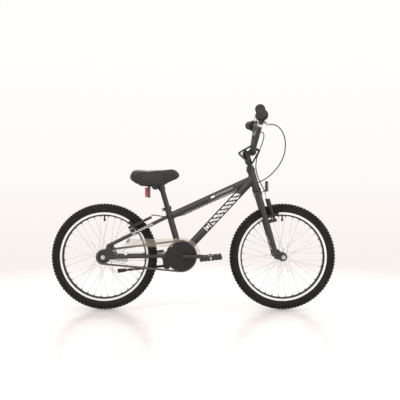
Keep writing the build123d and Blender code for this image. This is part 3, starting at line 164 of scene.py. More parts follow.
def aged(look, base, spread=0.18, scale=14.0):
    """The base colour with broad and fine variation."""
    broad = look.noise(scale, 4.0)
    fine = look.noise(scale * 30, 2.0)
    both = look.math("ADD", look.times(broad, 0.7), look.times(fine, 0.3))
    darker = rgb(*base, 1 - spread)
    lighter = rgb(*base, 1 + spread)
    return look.mix(look.ramp(both, 0.35, 0.65), darker, lighter)


def uneven(look, middle, spread=0.07, scale=40.0):
    """A roughness that varies a little over the surface."""
    return look.ramp(look.noise(scale, 5.0), 0.3, 0.7, middle - spread, middle + spread)


PAINT = (0.0225, 0.0202, 0.0202)
WHITE = (0.78, 0.78, 0.77)
SILVER = (0.62, 0.62, 0.63)


def paint_look(name, decals=None):
    look = Look(name, Metallic=0.15, Coat_Weight=0.10, Coat_Roughness=0.35)
    colour = aged(look, PAINT, 0.12, 9.0)
    fleck = look.ramp(look.cells(2600.0), 0.0, 0.16, 1.0, 0.0)
    colour = look.mix(look.times(fleck, 0.35), colour, rgb(0.11, 0.11, 0.115))
    rough = uneven(look, 0.46)
    look.bump(look.noise(1500.0, 2.0), 0.00006, 0.5)
    if decals:
        colour, rough = decals(look, colour, rough)
    return look.done(colour, rough)


def along(look, start, end):
    """How far each point lies along a line in X and Z, from 0 to 1, and its offset to the side in metres."""
    run = end - start
    length = run.length
    dx = look.math("SUBTRACT", look.x, start.x)
    dz = look.math("SUBTRACT", look.z, start.z)
    far = look.math("ADD", look.times(dx, run.x / length ** 2), look.times(dz, run.z / length ** 2))
    off = look.math("SUBTRACT", look.times(dz, run.x / length), look.times(dx, run.z / length))
    return far, off


def bars(look, far, off, count, low, high, half, lean, fill):
    """A row of slanted bars between low and high along a tube, within half of its middle line."""
    inside = look.between(far, low, high, 0.001)
    slanted = look.math("ADD", far, look.times(off, lean))
    phase = look.math("FRACT", look.times(slanted, count / (high - low)))
    bar = look.between(phase, 0.08, 0.08 + fill, 0.03)
    band = look.between(off, -half, half)
    return look.times(look.times(inside, bar), band)


def down_tube_decals(look, colour, rough):
    far, off = along(look, BB_CENTRE, HEAD_JOINT)
    row = bars(look, far, off, 7, 0.415, 0.80, 0.0125, 2.6, 0.62)
    slit = look.math("ADD", look.between(off, 0.0028, 0.0054), look.between(off, -0.0054, -0.0028))
    row = look.times(row, look.math("SUBTRACT", 1.0, look.times(slit, 0.9)))
    badge = look.math("SUBTRACT", look.between(far, 0.338, 0.398, 0.001), look.between(far, 0.347, 0.389, 0.001))
    badge = look.times(badge, look.between(off, -0.0125, 0.0125))
    heart = look.times(look.between(far, 0.356, 0.380, 0.001), look.between(off, -0.0065, 0.0065))
    mask = row
    for part in (badge, heart):
        mask = look.math("MAXIMUM", mask, part)
    worn = look.ramp(look.noise(700.0, 3.0), 0.30, 0.36)
    mask = look.times(mask, look.math("ADD", 0.75, look.times(worn, 0.25)))
    return look.mix(mask, colour, rgb(*WHITE)), look.math("SUBTRACT", rough, look.times(mask, 0.12))


def top_tube_decals(look, colour, rough):
    far, off = along(look, TOP_REAR, HEAD_JOINT)
    block = look.times(look.between(far, 0.478, 0.525, 0.001), look.between(off, -0.0042, 0.0042))
    row = bars(look, far, off, 14, 0.535, 0.748, 0.0036, 2.2, 0.45)
    line = look.times(look.between(far, 0.44, 0.80, 0.001), look.between(off, -0.0092, -0.0086))
    mask = look.math("MAXIMUM", block, look.math("MAXIMUM", look.times(row, 0.55),
                                                  look.times(line, 0.35)))
    return look.mix(mask, colour, rgb(*WHITE)), rough


def stay_decals(look, colour, rough):
    far, off = along(look, STAY_LOW, STAY_HIGH)
    hatch = bars(look, far, off, 7, 0.40, 0.77, 0.0055, 5.0, 0.42)
    outside = look.ramp(look.math("ABSOLUTE", look.y), 0.020, 0.024)
    return look.mix(look.times(hatch, outside), colour, rgb(*SILVER)), rough


def black_metal():
    look = Look("satin_black_metal", Metallic=0.35, Coat_Weight=0.2, Coat_Roughness=0.3)
    colour = aged(look, (0.017, 0.016, 0.016), 0.2, 25.0)
    scuff = look.ramp(look.noise(90.0, 8.0), 0.66, 0.74)
    colour = look.mix(look.times(scuff, 0.35), colour, rgb(0.16, 0.155, 0.15))
    look.bump(look.noise(1100.0, 3.0), 0.00008, 0.5)
    return look.done(colour, uneven(look, 0.38, 0.1))


def wheel_radius(look):
    """The distance from the nearer axle, seen from the side. It serves both wheels."""
    side = look.math("SUBTRACT", look.math("ABSOLUTE", look.x), AXLE_X)
    return look.distance(side, look.math("SUBTRACT", look.z, AXLE_Z))


def rim_metal():
    look = Look("rim_black_and_machined", Metallic=1.0)
    radius = wheel_radius(look)
    track = look.ramp(radius, 0.2008, 0.2014)
    groove = look.math("SINE", look.times(radius, 9000.0))
    dark = aged(look, (0.014, 0.014, 0.014), 0.2, 20.0)
    bright = aged(look, (0.80, 0.80, 0.81), 0.06, 60.0)
    streak = look.ramp(look.noise(300.0, 6.0), 0.62, 0.72)
    bright = look.mix(look.times(streak, 0.35), bright, rgb(0.35, 0.34, 0.33))
    look.bump(look.times(groove, track), 0.00005, 0.6)
    look.bump(look.noise(900.0, 2.0), 0.00005, 0.3)
    look.put(look.shader.inputs["Metallic"], look.times(track, 0.75))
    return look.done(look.mix(track, dark, bright), look.ramp(track, 0.0, 1.0, 0.35, 0.42))


def bright_metal(name, base, rough, oil=0.0, brushed=False):
    look = Look(name, Metallic=1.0)
    colour = aged(look, base, 0.08, 60.0)
    dirt = look.ramp(look.noise(220.0, 6.0), 0.55, 0.70)
    colour = look.mix(look.times(dirt, 0.2 + oil), colour, rgb(0.05, 0.046, 0.042))
    if brushed:
        look.bump(look.noise(900.0, 4.0, (1.0, 0.06, 1.0)), 0.00008, 0.5)
    look.bump(look.noise(1300.0, 3.0), 0.00005, 0.5)
    return look.done(colour, uneven(look, rough, 0.1, 120.0))


def rubber(name, base, rough, grain, depth):
    look = Look(name, Specular_IOR_Level=0.35)
    colour = aged(look, base, 0.22, 12.0)
    dust = look.ramp(look.noise(45.0, 7.0), 0.52, 0.75)
    colour = look.mix(look.times(dust, 0.14), colour, rgb(0.12, 0.108, 0.09))
    look.bump(look.noise(grain, 4.0), depth, 0.6)
    return look.done(colour, uneven(look, rough, 0.08))


def tyre_rubber():
    look = Look("tyre_rubber_dark", Specular_IOR_Level=0.22)
    radius = wheel_radius(look)
    tread = look.ramp(radius, 0.2445, 0.2500)
    colour = aged(look, (0.0075, 0.0070, 0.0062), 0.25, 10.0)
    dust = look.ramp(look.noise(60.0, 7.0), 0.46, 0.72)
    colour = look.mix(look.times(dust, 0.10), colour, rgb(0.07, 0.063, 0.053))
    colour = look.mix(look.times(tread, 0.2), colour, rgb(0.030, 0.028, 0.025))
    look.bump(look.math("SINE", look.times(radius, 4200.0)), 0.0001, 0.35)
    look.bump(look.noise(800.0, 4.0), 0.00015, 0.6)
    return look.done(colour, uneven(look, 0.66, 0.1))


def plastic(name, base, rough, grain=1400.0, **sockets):
    look = Look(name, **sockets)
    colour = aged(look, base, 0.1, 22.0)
    look.bump(look.noise(grain, 2.0), 0.00006, 0.5)
    return look.done(colour, uneven(look, rough, 0.07))


def guard_disc():
    look = Look("moulded_guard_disc", Specular_IOR_Level=0.4)
    dx = look.math("SUBTRACT", look.x, BB_CENTRE.x)
    radius = look.distance(dx, look.math("SUBTRACT", look.z, BB_CENTRE.z))
    colour = aged(look, (0.0053, 0.0040, 0.0031), 0.15, 18.0)
    scratch = look.ramp(look.noise(260.0, 8.0, (0.25, 1.0, 1.6)), 0.66, 0.72)
    colour = look.mix(look.times(scratch, 0.12), colour, rgb(0.16, 0.15, 0.14))
    look.bump(look.math("SINE", look.times(radius, 2600.0)), 0.00004, 0.4)
    look.bump(look.noise(1000.0, 3.0), 0.00008, 0.5)
    return look.done(colour, uneven(look, 0.48, 0.08))


def guard_plastic():
    look = Look("smoked_tan_guard", Alpha=0.22, Specular_IOR_Level=0.7, Coat_Weight=0.3, Coat_Roughness=0.1)
    colour = aged(look, (0.36, 0.30, 0.225), 0.05, 9.0)
    scratch = look.ramp(look.noise(160.0, 8.0, (0.2, 1.0, 2.4)), 0.68, 0.74)
    colour = look.mix(look.times(scratch, 0.12), colour, rgb(0.62, 0.55, 0.48))
    look.bump(look.noise(500.0, 2.0), 0.00003, 0.3)
    return look.done(colour, uneven(look, 0.2, 0.05))


def lens(name, base, housing_from=None):
    look = Look(name, Coat_Weight=0.6, Coat_Roughness=0.05)
    prism = look.cells(230.0, "SMOOTH_F1")
    waves = [look.math("ABSOLUTE", look.math("SINE", look.times(look.math(way, look.y, look.z), 900.0)))
             for way in ("ADD", "SUBTRACT")]
    height = look.math("ADD", look.times(*waves), look.times(prism, 0.3))
    # Painted shade and painted highlight on the prism: the colour is darker in the facets' hollows and lighter on
    # their peaks, following the same height as the bump.
    colour = look.mix(look.ramp(height, 0.1, 0.9), rgb(*base, 0.55), rgb(*base, 1.3))
    rough = uneven(look, 0.16, 0.05)
    look.bump(height, 0.0008, 0.8)
    if housing_from is not None:
        black = look.ramp(look.x, housing_from - 0.0001, housing_from + 0.0001)
        colour = look.mix(black, colour, rgb(0.015, 0.015, 0.015))
        rough = look.math("ADD", rough, look.times(black, 0.25))
    return look.done(colour, rough)


def vinyl(name, base, rough, grain, depth, sheen):
    look = Look(name, Sheen_Weight=sheen, Sheen_Roughness=0.4, Specular_IOR_Level=0.45)
    colour = aged(look, base, 0.14, 16.0)
    leather = look.cells(grain)
    crease = look.ramp(look.noise(34.0, 6.0), 0.3, 0.7)
    # Painted shade in the grain: the colour darkens in the pits, where the bump is lowest.
    colour = look.mix(look.ramp(leather, 0.0, 0.5, 0.22, 0.0), colour, rgb(*base, 0.45))
    look.bump(leather, depth, 0.8)
    look.bump(crease, depth * 2.5, 0.4)
    return look.done(colour, uneven(look, rough, 0.07))


LOOKS = {
    "frame_paint": paint_look("anthracite_paint"),
    "black_metal": black_metal(),
    "rim_metal": rim_metal(),
    "bright_steel": bright_metal("zinc_steel", (0.58, 0.58, 0.59), 0.32),
    "ball_steel": bright_metal("polished_balls", (0.70, 0.70, 0.71), 0.15),
    "chain_steel": bright_metal("oiled_chain_steel", (0.105, 0.102, 0.098), 0.38, 0.35),
    "tyre_rubber": tyre_rubber(),
    "soft_rubber": rubber("grip_rubber", (0.022, 0.018, 0.0165), 0.58, 1100.0, 0.00008),
    "black_plastic": plastic("black_nylon", (0.016, 0.0155, 0.015), 0.48),
    "guard_plastic": guard_plastic(),
    "brake_alloy": plastic("black_brake_casting", (0.020, 0.019, 0.019), 0.40, 700.0, Metallic=0.3),
    "lever_alloy": bright_metal("brushed_lever_alloy", (0.66, 0.66, 0.67), 0.27, 0.0, True),
    "cable_jacket": plastic("cable_jacket_vinyl", (0.016, 0.016, 0.0165), 0.36, 900.0),
    "bell_metal": bright_metal("bell_chrome", (0.72, 0.72, 0.73), 0.14),
    "saddle_vinyl": vinyl("saddle_grained_vinyl", (0.0100, 0.0083, 0.0073), 0.45, 620.0, 0.00022, 0.05),
    "pad_vinyl": vinyl("stem_pad_vinyl", (0.017, 0.0165, 0.0165), 0.36, 480.0, 0.00020, 0.05),
    "white_lens": lens("clear_prism_lens", (0.62, 0.62, 0.63)),
    "red_lens": lens("red_prism_lens", (0.50, 0.022, 0.018), -0.2160),
}
SPECIAL = {
    "down_tube": paint_look("anthracite_with_bars", down_tube_decals),
    "top_tube": paint_look("anthracite_with_marks", top_tube_decals),
    "seatstays": paint_look("anthracite_with_hatch", stay_decals),
    "chainring_guard": guard_disc(),
    "bearing_cups": LOOKS["black_metal"],
    "fork_fasteners": LOOKS["black_metal"],
}
STITCH = plastic("grey_thread", (0.10, 0.098, 0.095), 0.7, 2500.0)
# Painted light: the pale grey of the spiral round the rear housing stands in for the bright backdrop seen through
# the thin gap between the housing and the top tube.
GAP_LIGHT_GREY = plastic("grey_spiral_as_gap_light", (0.62, 0.62, 0.62), 0.45, 1500.0)

for node_name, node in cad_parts.items():
    for i, old in enumerate(node.data.materials):
        node.data.materials[i] = SPECIAL.get(node_name) or LOOKS[old.name.split(".")[0]]


# ---------------------------------------------------------------- mesh helpers
def piece(name, verts, faces, material, body=None, sharp=radians(40)):
    """A shaded mesh object. With a body it rides on it."""
    mesh = bpy.data.meshes.new(name)
    mesh.from_pydata([tuple(v) for v in verts], [], faces)
    work = bmesh.new()
    work.from_mesh(mesh)
    bmesh.ops.recalc_face_normals(work, faces=work.faces)
    for edge in work.edges:
        if len(edge.link_faces) == 2 and edge.calc_face_angle(0) > sharp:
            edge.smooth = False
    for face in work.faces:
        face.smooth = True
    work.to_mesh(mesh)
    work.free()
    mesh.materials.append(material)
    made = bpy.data.objects.new(name, mesh)
    bpy.context.collection.objects.link(made)
    if body:
        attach(made, body)
    return made


class Shell:
    """Vertices and faces gathered for one mesh."""

    def __init__(self):
        self.verts = []
        self.faces = []

    def add(self, verts, faces):
        base = len(self.verts)
        self.verts.extend(verts)
        self.faces.extend([tuple(i + base for i in face) for face in faces])

    def loft(self, rings, closed=False):
        """Joins rings of equal length. Closed joins the last ring to the first, and open ends are capped."""
        n = len(rings[0])
        count = len(rings)
        faces = []
        for i in range(count if closed else count - 1):
            j = (i + 1) % count
            for k in range(n):
                m = (k + 1) % n
                faces.append((i * n + k, i * n + m, j * n + m, j * n + k))
        if not closed:
            faces.append(tuple(range(n - 1, -1, -1)))
            faces.append(tuple((count - 1) * n + k for k in range(n)))
        self.add([v for ring in rings for v in ring], faces)

    def piece(self, name, material, slot, body=None, sharp=radians(40)):
        return piece(name, self.verts, self.faces, material, body, sharp)


def frames_along(points):
    """A side and a cross direction at each point, turning as little as possible."""
    made = []
    side = None
    for i, here in enumerate(points):
        run = (points[min(i + 1, len(points) - 1)] - points[max(i - 1, 0)]).normalized()
        if side is None:
            side = run.orthogonal()
        side = (side - run * side.dot(run)).normalized()
        made.append((here, side.copy(), run.cross(side)))
    return made


def tube_rings(points, radius, sides=12):
    """Rings round a line. radius is a number or one number per point."""
    rings = []
    for i, (here, side, cross) in enumerate(frames_along(points)):
        r = radius[i] if isinstance(radius, (list, tuple)) else radius
        rings.append([here + side * r * cos(2 * pi * k / sides) + cross * r * sin(2 * pi * k / sides)
                      for k in range(sides)])
    return rings


def turned(start, end, profile, sides=40):
    """Rings of a turned piece. profile holds (distance from start, radius) pairs.

    orthogonal() is not of unit length here, so radii come out 1.39 to 1.41 times those in profile, and some pieces
    come out too thick because of it.
    """
    run = (end - start).normalized()
    side = run.orthogonal()
    cross = run.cross(side)
    return [[start + run * d + side * r * cos(2 * pi * k / sides) + cross * r * sin(2 * pi * k / sides)
             for k in range(sides)] for d, r in profile]


def nurbs_line(name, route):
    """Points read from a smooth NURBS spline through a route's control points."""
    curve = bpy.data.curves.new(name, "CURVE")
    curve.dimensions = "3D"
    spline = curve.splines.new("NURBS")
    spline.points.add(len(route) - 1)
    for point, place in zip(spline.points, route):
        point.co = (*(v * MM for v in place), 1.0)
    spline.order_u = 3
    spline.use_endpoint_u = True
    curve.resolution_u = 10
    line = bpy.data.objects.new(name, curve)
    bpy.context.collection.objects.link(line)
    evaluated = line.evaluated_get(bpy.context.evaluated_depsgraph_get())
    mesh = bpy.data.meshes.new_from_object(evaluated)
    points = [v.co.copy() for v in mesh.vertices]
    bpy.data.objects.remove(line)
    bpy.data.curves.remove(curve)
    bpy.data.meshes.remove(mesh)
    return points


# ---------------------------------------------------------------- tyres and valves
CROWN_R = 228.5
CASING_R = 21.0
TREAD_ROWS = 98
CASING_STEPS = 160
SPOKES = 36
NIPPLE = [(0, 2.1), (1.0, 2.9), (4.0, 2.9), (5.2, 2.2)]
CASING = [
    (210.0, 13.2), (212.0, 15.2), (214.0, 16.9), (215.2, 17.1), (217.0, 18.4), (218.2, 19.4),
    (219.2, 19.3), (221.0, 19.7),
]


def wheel_point(axle_x, angle, radius, y):
    return Vector((axle_x + radius * MM * sin(angle), y * MM, AXLE_Z + radius * MM * cos(angle)))


def casing_profile():
    half = list(CASING)
    for step in range(12):
        phi = radians(100 - step * 100 / 12)
        half.append((CROWN_R + CASING_R * cos(phi), CASING_R * sin(phi)))
    crown = [(CROWN_R + CASING_R, 0.0)]
    return half + crown + [(r, -y) for r, y in reversed(half)]


def knob(shell, axle_x, angle, phi, length, width, height, twist=0.0):
    """A tread block with bevelled top edges, standing on the casing at phi from the crown."""
    here = wheel_point(axle_x, angle, CROWN_R + CASING_R * cos(phi), CASING_R * sin(phi))
    hub = wheel_point(axle_x, angle, CROWN_R, 0.0)
    out = (here - hub).normalized()
    forward = Vector((cos(angle), 0, -sin(angle)))
    across = out.cross(forward)
    spun = Matrix.Rotation(twist, 3, out)
    forward, across = spun @ forward, spun @ across
    rings = []
    for rise, grow in ((-1.5, 1.3), (height - 0.7, 0.25), (height, -0.45)):
        a = (length / 2 + grow) * MM
        b = (width / 2 + grow) * MM
        rings.append([here + out * rise * MM + forward * sa * a + across * sb * b
                      for sa, sb in ((-1, -1), (1, -1), (1, 1), (-1, 1))])
    shell.loft(rings)


def tyre(name, axle_x, body):
    shell = Shell()
    profile = casing_profile()
    angles = [2 * pi * i / CASING_STEPS for i in range(CASING_STEPS)]
    shell.loft([[wheel_point(axle_x, angle, r, y) for r, y in profile] for angle in angles], closed=True)
    pitch = 2 * pi / TREAD_ROWS
    for row in range(TREAD_ROWS):
        angle = row * pitch
        for side in (-1, 1):
            if row % 2 == 0:
                knob(shell, axle_x, angle, side * radians(14), 10.2, 7.5, 3.45, side * 0.22)
                knob(shell, axle_x, angle, side * radians(56), 10.5, 8.0, 3.1)
            else:
                knob(shell, axle_x, angle, side * radians(32), 9.8, 8.0, 3.4, -side * 0.25)
                knob(shell, axle_x, angle, side * radians(59), 8.0, 6.5, 2.9)
            knob(shell, axle_x, angle + pitch / 2, side * radians(79), 5.0, 5.5, 1.7)
        if row % 2:
            knob(shell, axle_x, angle, 0.0, 10.0, 9.5, 3.45)
    made = shell.piece(name, LOOKS["tyre_rubber"], "tyre_rubber", body, radians(30))
    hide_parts(name.replace("_tread", ""))


def valve(name, axle_x, body):
    """A short brass-cored valve with a rubber foot and a ribbed cap, at the top of the wheel."""
    shell = Shell()
    foot = wheel_point(axle_x, 0, 214, 0)
    end = wheel_point(axle_x, 0, 168, 0)
    profile = [(0, 4.0), (20, 4.0), (21.5, 3.2), (26, 3.0), (26.2, 2.4), (32, 2.4), (32.2, 3.4)]
    for i in range(6):
        profile += [(33 + i * 1.8, 3.9), (33.9 + i * 1.8, 3.5)]
    profile += [(44.4, 3.6), (45.6, 2.6), (46, 1.2)]
    shell.loft(turned(foot, end, [(d * MM, r * MM) for d, r in profile], 20))
    shell.piece(name, LOOKS["black_plastic"], "tyre_rubber", body)


def nipples(name, axle_x, body):
    """The spoke nipples' square shoulders inside the rim, one at each spoke."""
    shell = Shell()
    for i in range(SPOKES):
        angle = radians((i + 0.5) * 360 / SPOKES)
        side = 1 if i % 2 == 0 else -1
        out = Vector((cos(angle), 0, sin(angle)))
        centre = Vector((axle_x, side * 2.5 * MM, AXLE_Z))
        profile = [(d * MM, r * MM) for d, r in NIPPLE]
        shell.loft(turned(centre + out * 188.6 * MM, centre + out * 194 * MM, profile, 8))
    shell.piece(name, LOOKS["bright_steel"], "bright_steel", body)


for wheel, x in (("front", AXLE_X), ("rear", -AXLE_X)):
    tyre(f"{wheel}_tyre_tread", x, f"{wheel}_wheel")
    valve(f"{wheel}_valve", x, f"{wheel}_wheel")
    nipples(f"{wheel}_nipples", x, f"{wheel}_wheel")


# ---------------------------------------------------------------- saddle
TOP_LINE = [
    (-301, 632), (-298, 650), (-288, 664), (-262, 669), (-213, 665.5), (-150, 667.5), (-99, 671), (-80, 664),
    (-70, 651), (-67, 643),
]
LOW_LINE = [
    (-301, 628), (-294, 617), (-268, 600), (-242, 592.5), (-201, 592), (-168, 593), (-131, 602), (-103, 615),
    (-74, 626), (-67, 640),
]
WIDTH_LINE = [
    (-301, 30), (-297, 56), (-280, 74), (-256, 77.5), (-228, 69), (-190, 43), (-150, 27), (-110, 22), (-80, 17),
    (-70, 11), (-67, 7),
]
CROWN_DROP = 20.0
SKIRT_TUCK = 5.0
SKIRT_PUFF = 1.4
ROOF_Z = 626.0


def smooth_at(line, x):
    """A rounded reading of a line of (x, value) pairs: three nearby readings averaged."""
    total = 0.0
    for shift, weight in ((-5, 1), (0, 2), (5, 1)):
        at = min(max(x + shift, line[0][0]), line[-1][0])
        for (x0, v0), (x1, v1) in zip(line, line[1:]):
            if x0 <= at <= x1:
                total += weight * (v0 + (v1 - v0) * (at - x0) / (x1 - x0))
                break
    return total / 4


def saddle_measures(x):
    """The top, the lower edge, the half width and the depth of the rounded crown at one station."""
    top, low, half = (smooth_at(line, x) for line in (TOP_LINE, LOW_LINE, WIDTH_LINE))
    return top, low, half, min(CROWN_DROP, 0.5 * (top - low))


def saddle_section(x):
    """One closed cross-section of the cover: over the crown, down both skirts and back inside."""
    top, low, half, drop = saddle_measures(x)
    height = top - low
    ring = []
    for step in range(9):
        angle = step / 8 * pi / 2
        ring.append((half * sin(angle) ** 0.9, top - drop * (1 - cos(angle) ** 0.9)))
    for part in (0.25, 0.5, 0.75, 0.93):
        puff = SKIRT_PUFF * sin(part * pi)
        ring.append((half - SKIRT_TUCK * part ** 2 + puff, top - drop - part * (height - drop)))
    ring.append((half - 6.0, low))
    ring.append((half - min(9.0, half * 0.5), low + 0.8))
    roof = max(low + 1.5, min(ROOF_Z, top - 9.0))
    ring.append((half - min(11.0, half * 0.6), roof))
    ring.append((half * 0.3, roof))
    left = [(-y, z) for y, z in reversed(ring[1:])]
    return [mm(x, y, z) for y, z in ring + left]


def saddle():
    shell = Shell()
    stations = [-300.6, -299.0, -296.0, -291.5, -285.5]
    stations += [-278 + 8.0 * i for i in range(25)]
    stations += [-79, -74.5, -71, -68.6, -67.4]
    shell.loft([saddle_section(x) for x in stations])
    made = shell.piece("saddle_padded_cover", LOOKS["saddle_vinyl"], "saddle_vinyl", None, radians(80))
    smooth = made.modifiers.new("round", "SUBSURF")
    smooth.levels = 2
    smooth.render_levels = 2
    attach(made, "saddle")
    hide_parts("saddle_cover")


def skirt_point(x, z, side, proud):
    """A point on the saddle's outer skirt, standing proud of it by a little."""
    top, low, half, drop = saddle_measures(x)
    height = top - low
    part = max(0.0, (top - drop - z) / (height - drop))
    if z > top - drop:
        y = half * sqrt(max(0.0, 1 - ((z - top + drop) / drop) ** 2))
    else:
        y = half - SKIRT_TUCK * part ** 2 + SKIRT_PUFF * sin(part * pi)
    return mm(x, side * (y + proud), z)


def seam_path(side, proud):
    """The side panel's seam, from the back of the saddle down to the skirt's lower edge."""
    points = []
    for i in range(41):
        t = i / 40
        x = -294 + 80 * t
        z = 640 - 35 * t + 4.0 * sin(pi * t)
        points.append(skirt_point(x, z, side, proud))
    return points


def saddle_trim():
    seams = Shell()
    stitches = Shell()
    for side in (-1, 1):
        seams.loft(tube_rings(seam_path(side, 0.0), 0.9 * MM, 8))
        path = [p + Vector((0, 0, 0.0034)) for p in seam_path(side, 0.0)]
        for i in range(1, len(path) - 2, 2):
            a, b = path[i], path[i].lerp(path[i + 1], 1.25)
            thread = [a, a.lerp(b, 0.3), a.lerp(b, 0.7), b]
            stitches.loft(tube_rings(thread, [0.2 * MM, 0.55 * MM, 0.55 * MM, 0.2 * MM], 6))
        hem = [skirt_point(x, smooth_at(LOW_LINE, x) + 1.2, side, -0.3) for x in range(-288, -78, 5)]
        seams.loft(tube_rings(hem, 1.1 * MM, 8))
    seams.piece("saddle_piping", LOOKS["saddle_vinyl"], "saddle_vinyl", "saddle")
    stitches.piece("saddle_stitches", STITCH, "saddle_vinyl", "saddle")


saddle()
saddle_trim()


# ---------------------------------------------------------------- stem pad
PAD_CORNERS = [(209, 748.5), (273, 785), (322, 760), (277, 684)]
PAD_HALF = 31.0
PAD_THICK = 8.5
ROUND_HANDLE = 0.58


def rounded_loop(corners, radius, steps):
    """A closed outline with rounded corners and extra points along its sides, in X and Z."""
    made = []
    count = len(corners)
    for i in range(count):
        here = Vector((*corners[i], 0))
        before = (Vector((*corners[i - 1], 0)) - here).normalized()
        after = (Vector((*corners[(i + 1) % count], 0)) - here).normalized()
        reach = radius / (((1 - before.dot(after)) / (1 + before.dot(after))) ** 0.5)
        a, b = here + before * reach, here + after * reach
        made += interpolate_bezier(a, a.lerp(here, ROUND_HANDLE), b.lerp(here, ROUND_HANDLE), b, steps)
        nxt = Vector((*corners[(i + 1) % count], 0))
        far = nxt - after * reach
        made += [b.lerp(far, part) for part in (0.2, 0.4, 0.6, 0.8)]
    return made


def stem_pad():
    """A foam pad in a sewn vinyl sleeve, folded into a loop round the stem."""
    line = rounded_loop(PAD_CORNERS, 9.0, 7)
    count = len(line)
    shell = Shell()
    rings = []
    outer_edge = ([], [])
    middle = sum(line, Vector()) / count
    for i, here in enumerate(line):
        run = (line[(i + 1) % count] - line[i - 1]).normalized()
        inward = Vector((-run.y, run.x, 0))
        if inward.dot(middle - here) < 0:
            inward = -inward
        swell = 1.0 + 0.10 * sin(5 * pi * i / count) ** 2
        ring = []
        for k in range(20):
            turn = 2 * pi * k / 20
            across = PAD_HALF * abs(cos(turn)) ** 0.42 * (1 if cos(turn) > 0 else -1)
            depth = 0.5 * PAD_THICK * abs(sin(turn)) ** 0.6 * (1 if sin(turn) > 0 else -1)
            crown = 1.0 - 0.35 * (across / PAD_HALF) ** 4
            place = here + inward * (0.5 * PAD_THICK + depth * crown * swell)
            ring.append(mm(place.x, across, place.y))
        rings.append(ring)
        for edge, side in zip(outer_edge, (-1, 1)):
            place = here + inward * 1.6
            edge.append(mm(place.x, side * (PAD_HALF - 1.6), place.y))
    shell.loft(rings, closed=True)
    made = shell.piece("stem_pad_sleeve", LOOKS["pad_vinyl"], "pad_vinyl", None, radians(80))
    smooth = made.modifiers.new("round", "SUBSURF")
    smooth.levels = 1
    smooth.render_levels = 1
    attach(made, "fork")
    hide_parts("stem_pad")
    trim = Shell()
    for edge in outer_edge:
        rings = tube_rings(edge, 0.9 * MM, 8)
        trim.loft(rings, closed=True)
    trim.piece("stem_pad_piping", LOOKS["pad_vinyl"], "pad_vinyl", "fork")


stem_pad()


# ---------------------------------------------------------------- grips
BAR_BEND = mm(313, 190, 897)
BAR_END = mm(291, 330, 915)
GRIP_LENGTH = 108.0


def grip(name, side):
    """A ribbed rubber grip with a flange at its inner end and a rounded closed end."""
    out = (BAR_END - BAR_BEND).normalized()
    start = BAR_END - out * GRIP_LENGTH * MM
    end = BAR_END + out * 4 * MM
    start.y *= side
    end.y *= side
    profile = [(0.0, 11.5), (0.0, 20.0), (1.0, 21.0), (3.2, 21.0), (4.2, 19.8), (4.8, 15.2)]
    at = 6.0
    while at < 96:
        profile += [(at, 14.7), (at + 0.6, 15.9), (at + 2.6, 15.9), (at + 3.2, 14.7)]
        at += 4.3
    profile += [(98, 14.8), (99, 16.0), (108, 16.0), (110.5, 15.0), (111.7, 12.5), (112.0, 8.0)]
    profile += [(111.2, 6.0), (111.0, 1.0)]
    shell = Shell()
    shell.loft(turned(start, end, [(d * MM, r * MM) for d, r in profile], 40))
    made = shell.piece(name, LOOKS["soft_rubber"], "soft_rubber", "fork", radians(50))
    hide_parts("grips")


grip("grip_left", 1)
grip("grip_right", -1)


# ---------------------------------------------------------------- brake cables
REAR_LOOP = [
    (374, -158, 868), (404, -140, 848), (424, -112, 815), (432, -82, 772), (427, -50, 728), (410, -22, 690),
    (386, 2, 658), (356, 18, 630), (322, 26, 611), (286, 25, 598),
]
REAR_RUN = [
    (286, 25, 598), (250, 24, 585), (216, 23, 571), (184, 14, 557), (152, 2, 541), (100, -2, 519), (50, 0, 496),
    (0, 0, 473), (-44, 8, 452), (-84, 21, 443), (-124, 27, 441), (-162, 38, 445), (-186, 56, 450), (-203, 69, 449),
]
FRONT_RUN = [
    (354, 176, 862), (352, 150, 834), (338, 124, 797), (322, 106, 760), (309, 92, 722), (305, 82, 684),
    (310, 74, 648), (324, 69, 612), (341, 69, 580), (352, 70, 556),
]
LEVER_BARREL = (-30.0, 30.0)
LEVER_AHEAD = (-50.0, 30.0)
LEVER_Y = 213.0
HOUSING_R = 2.6
FERRULE_LENGTH = 11.0
FERRULE_R = 3.5
REAR_ARM = (47, -210.1, 436.7)
FRONT_ARM = (50, 356.1, 522.4)


def lever_point(side, outward, reach):
    """A point in a lever's own plane, in millimetres: along the bar, and towards the blade."""
    out = (BAR_END - BAR_BEND).normalized()
    origin = BAR_END - out * ((BAR_END.y - LEVER_Y * MM) / out.y)
    forward = Vector((cos(radians(-62)), 0, sin(radians(-62))))
    normal = out.cross(forward).normalized()
    across = normal.cross(out)
    place = (origin + out * outward * MM + across * reach * MM) / MM
    return place.x, side * place.y, place.z


def lever_end(side):
    """The first two points of a housing's route, in line with its lever's barrel."""
    return [lever_point(side, *LEVER_BARREL), lever_point(side, *LEVER_AHEAD)]


def housing(name, route, body):
    """A cable housing along a smooth line, and the points of that line."""
    points = nurbs_line(name, route)
    shell = Shell()
    shell.loft(tube_rings(points, HOUSING_R * MM, 14))
    made = shell.piece(name, LOOKS["cable_jacket"], "cable_jacket", body)
    return made, points


def ferrule(shell, at, direction):
    """A turned metal end cap where a housing stops."""
    length, radius = FERRULE_LENGTH, FERRULE_R
    profile = [(0, 2.7), (0, radius), (length - 3, radius), (length - 2.4, radius - 0.6)]
    profile += [(length, radius - 0.8), (length, 1.0)]
    shell.loft(turned(at - direction * length * MM * 0.6, at + direction * length * MM * 0.4,
                      [(d * MM, r * MM) for d, r in profile], 16))


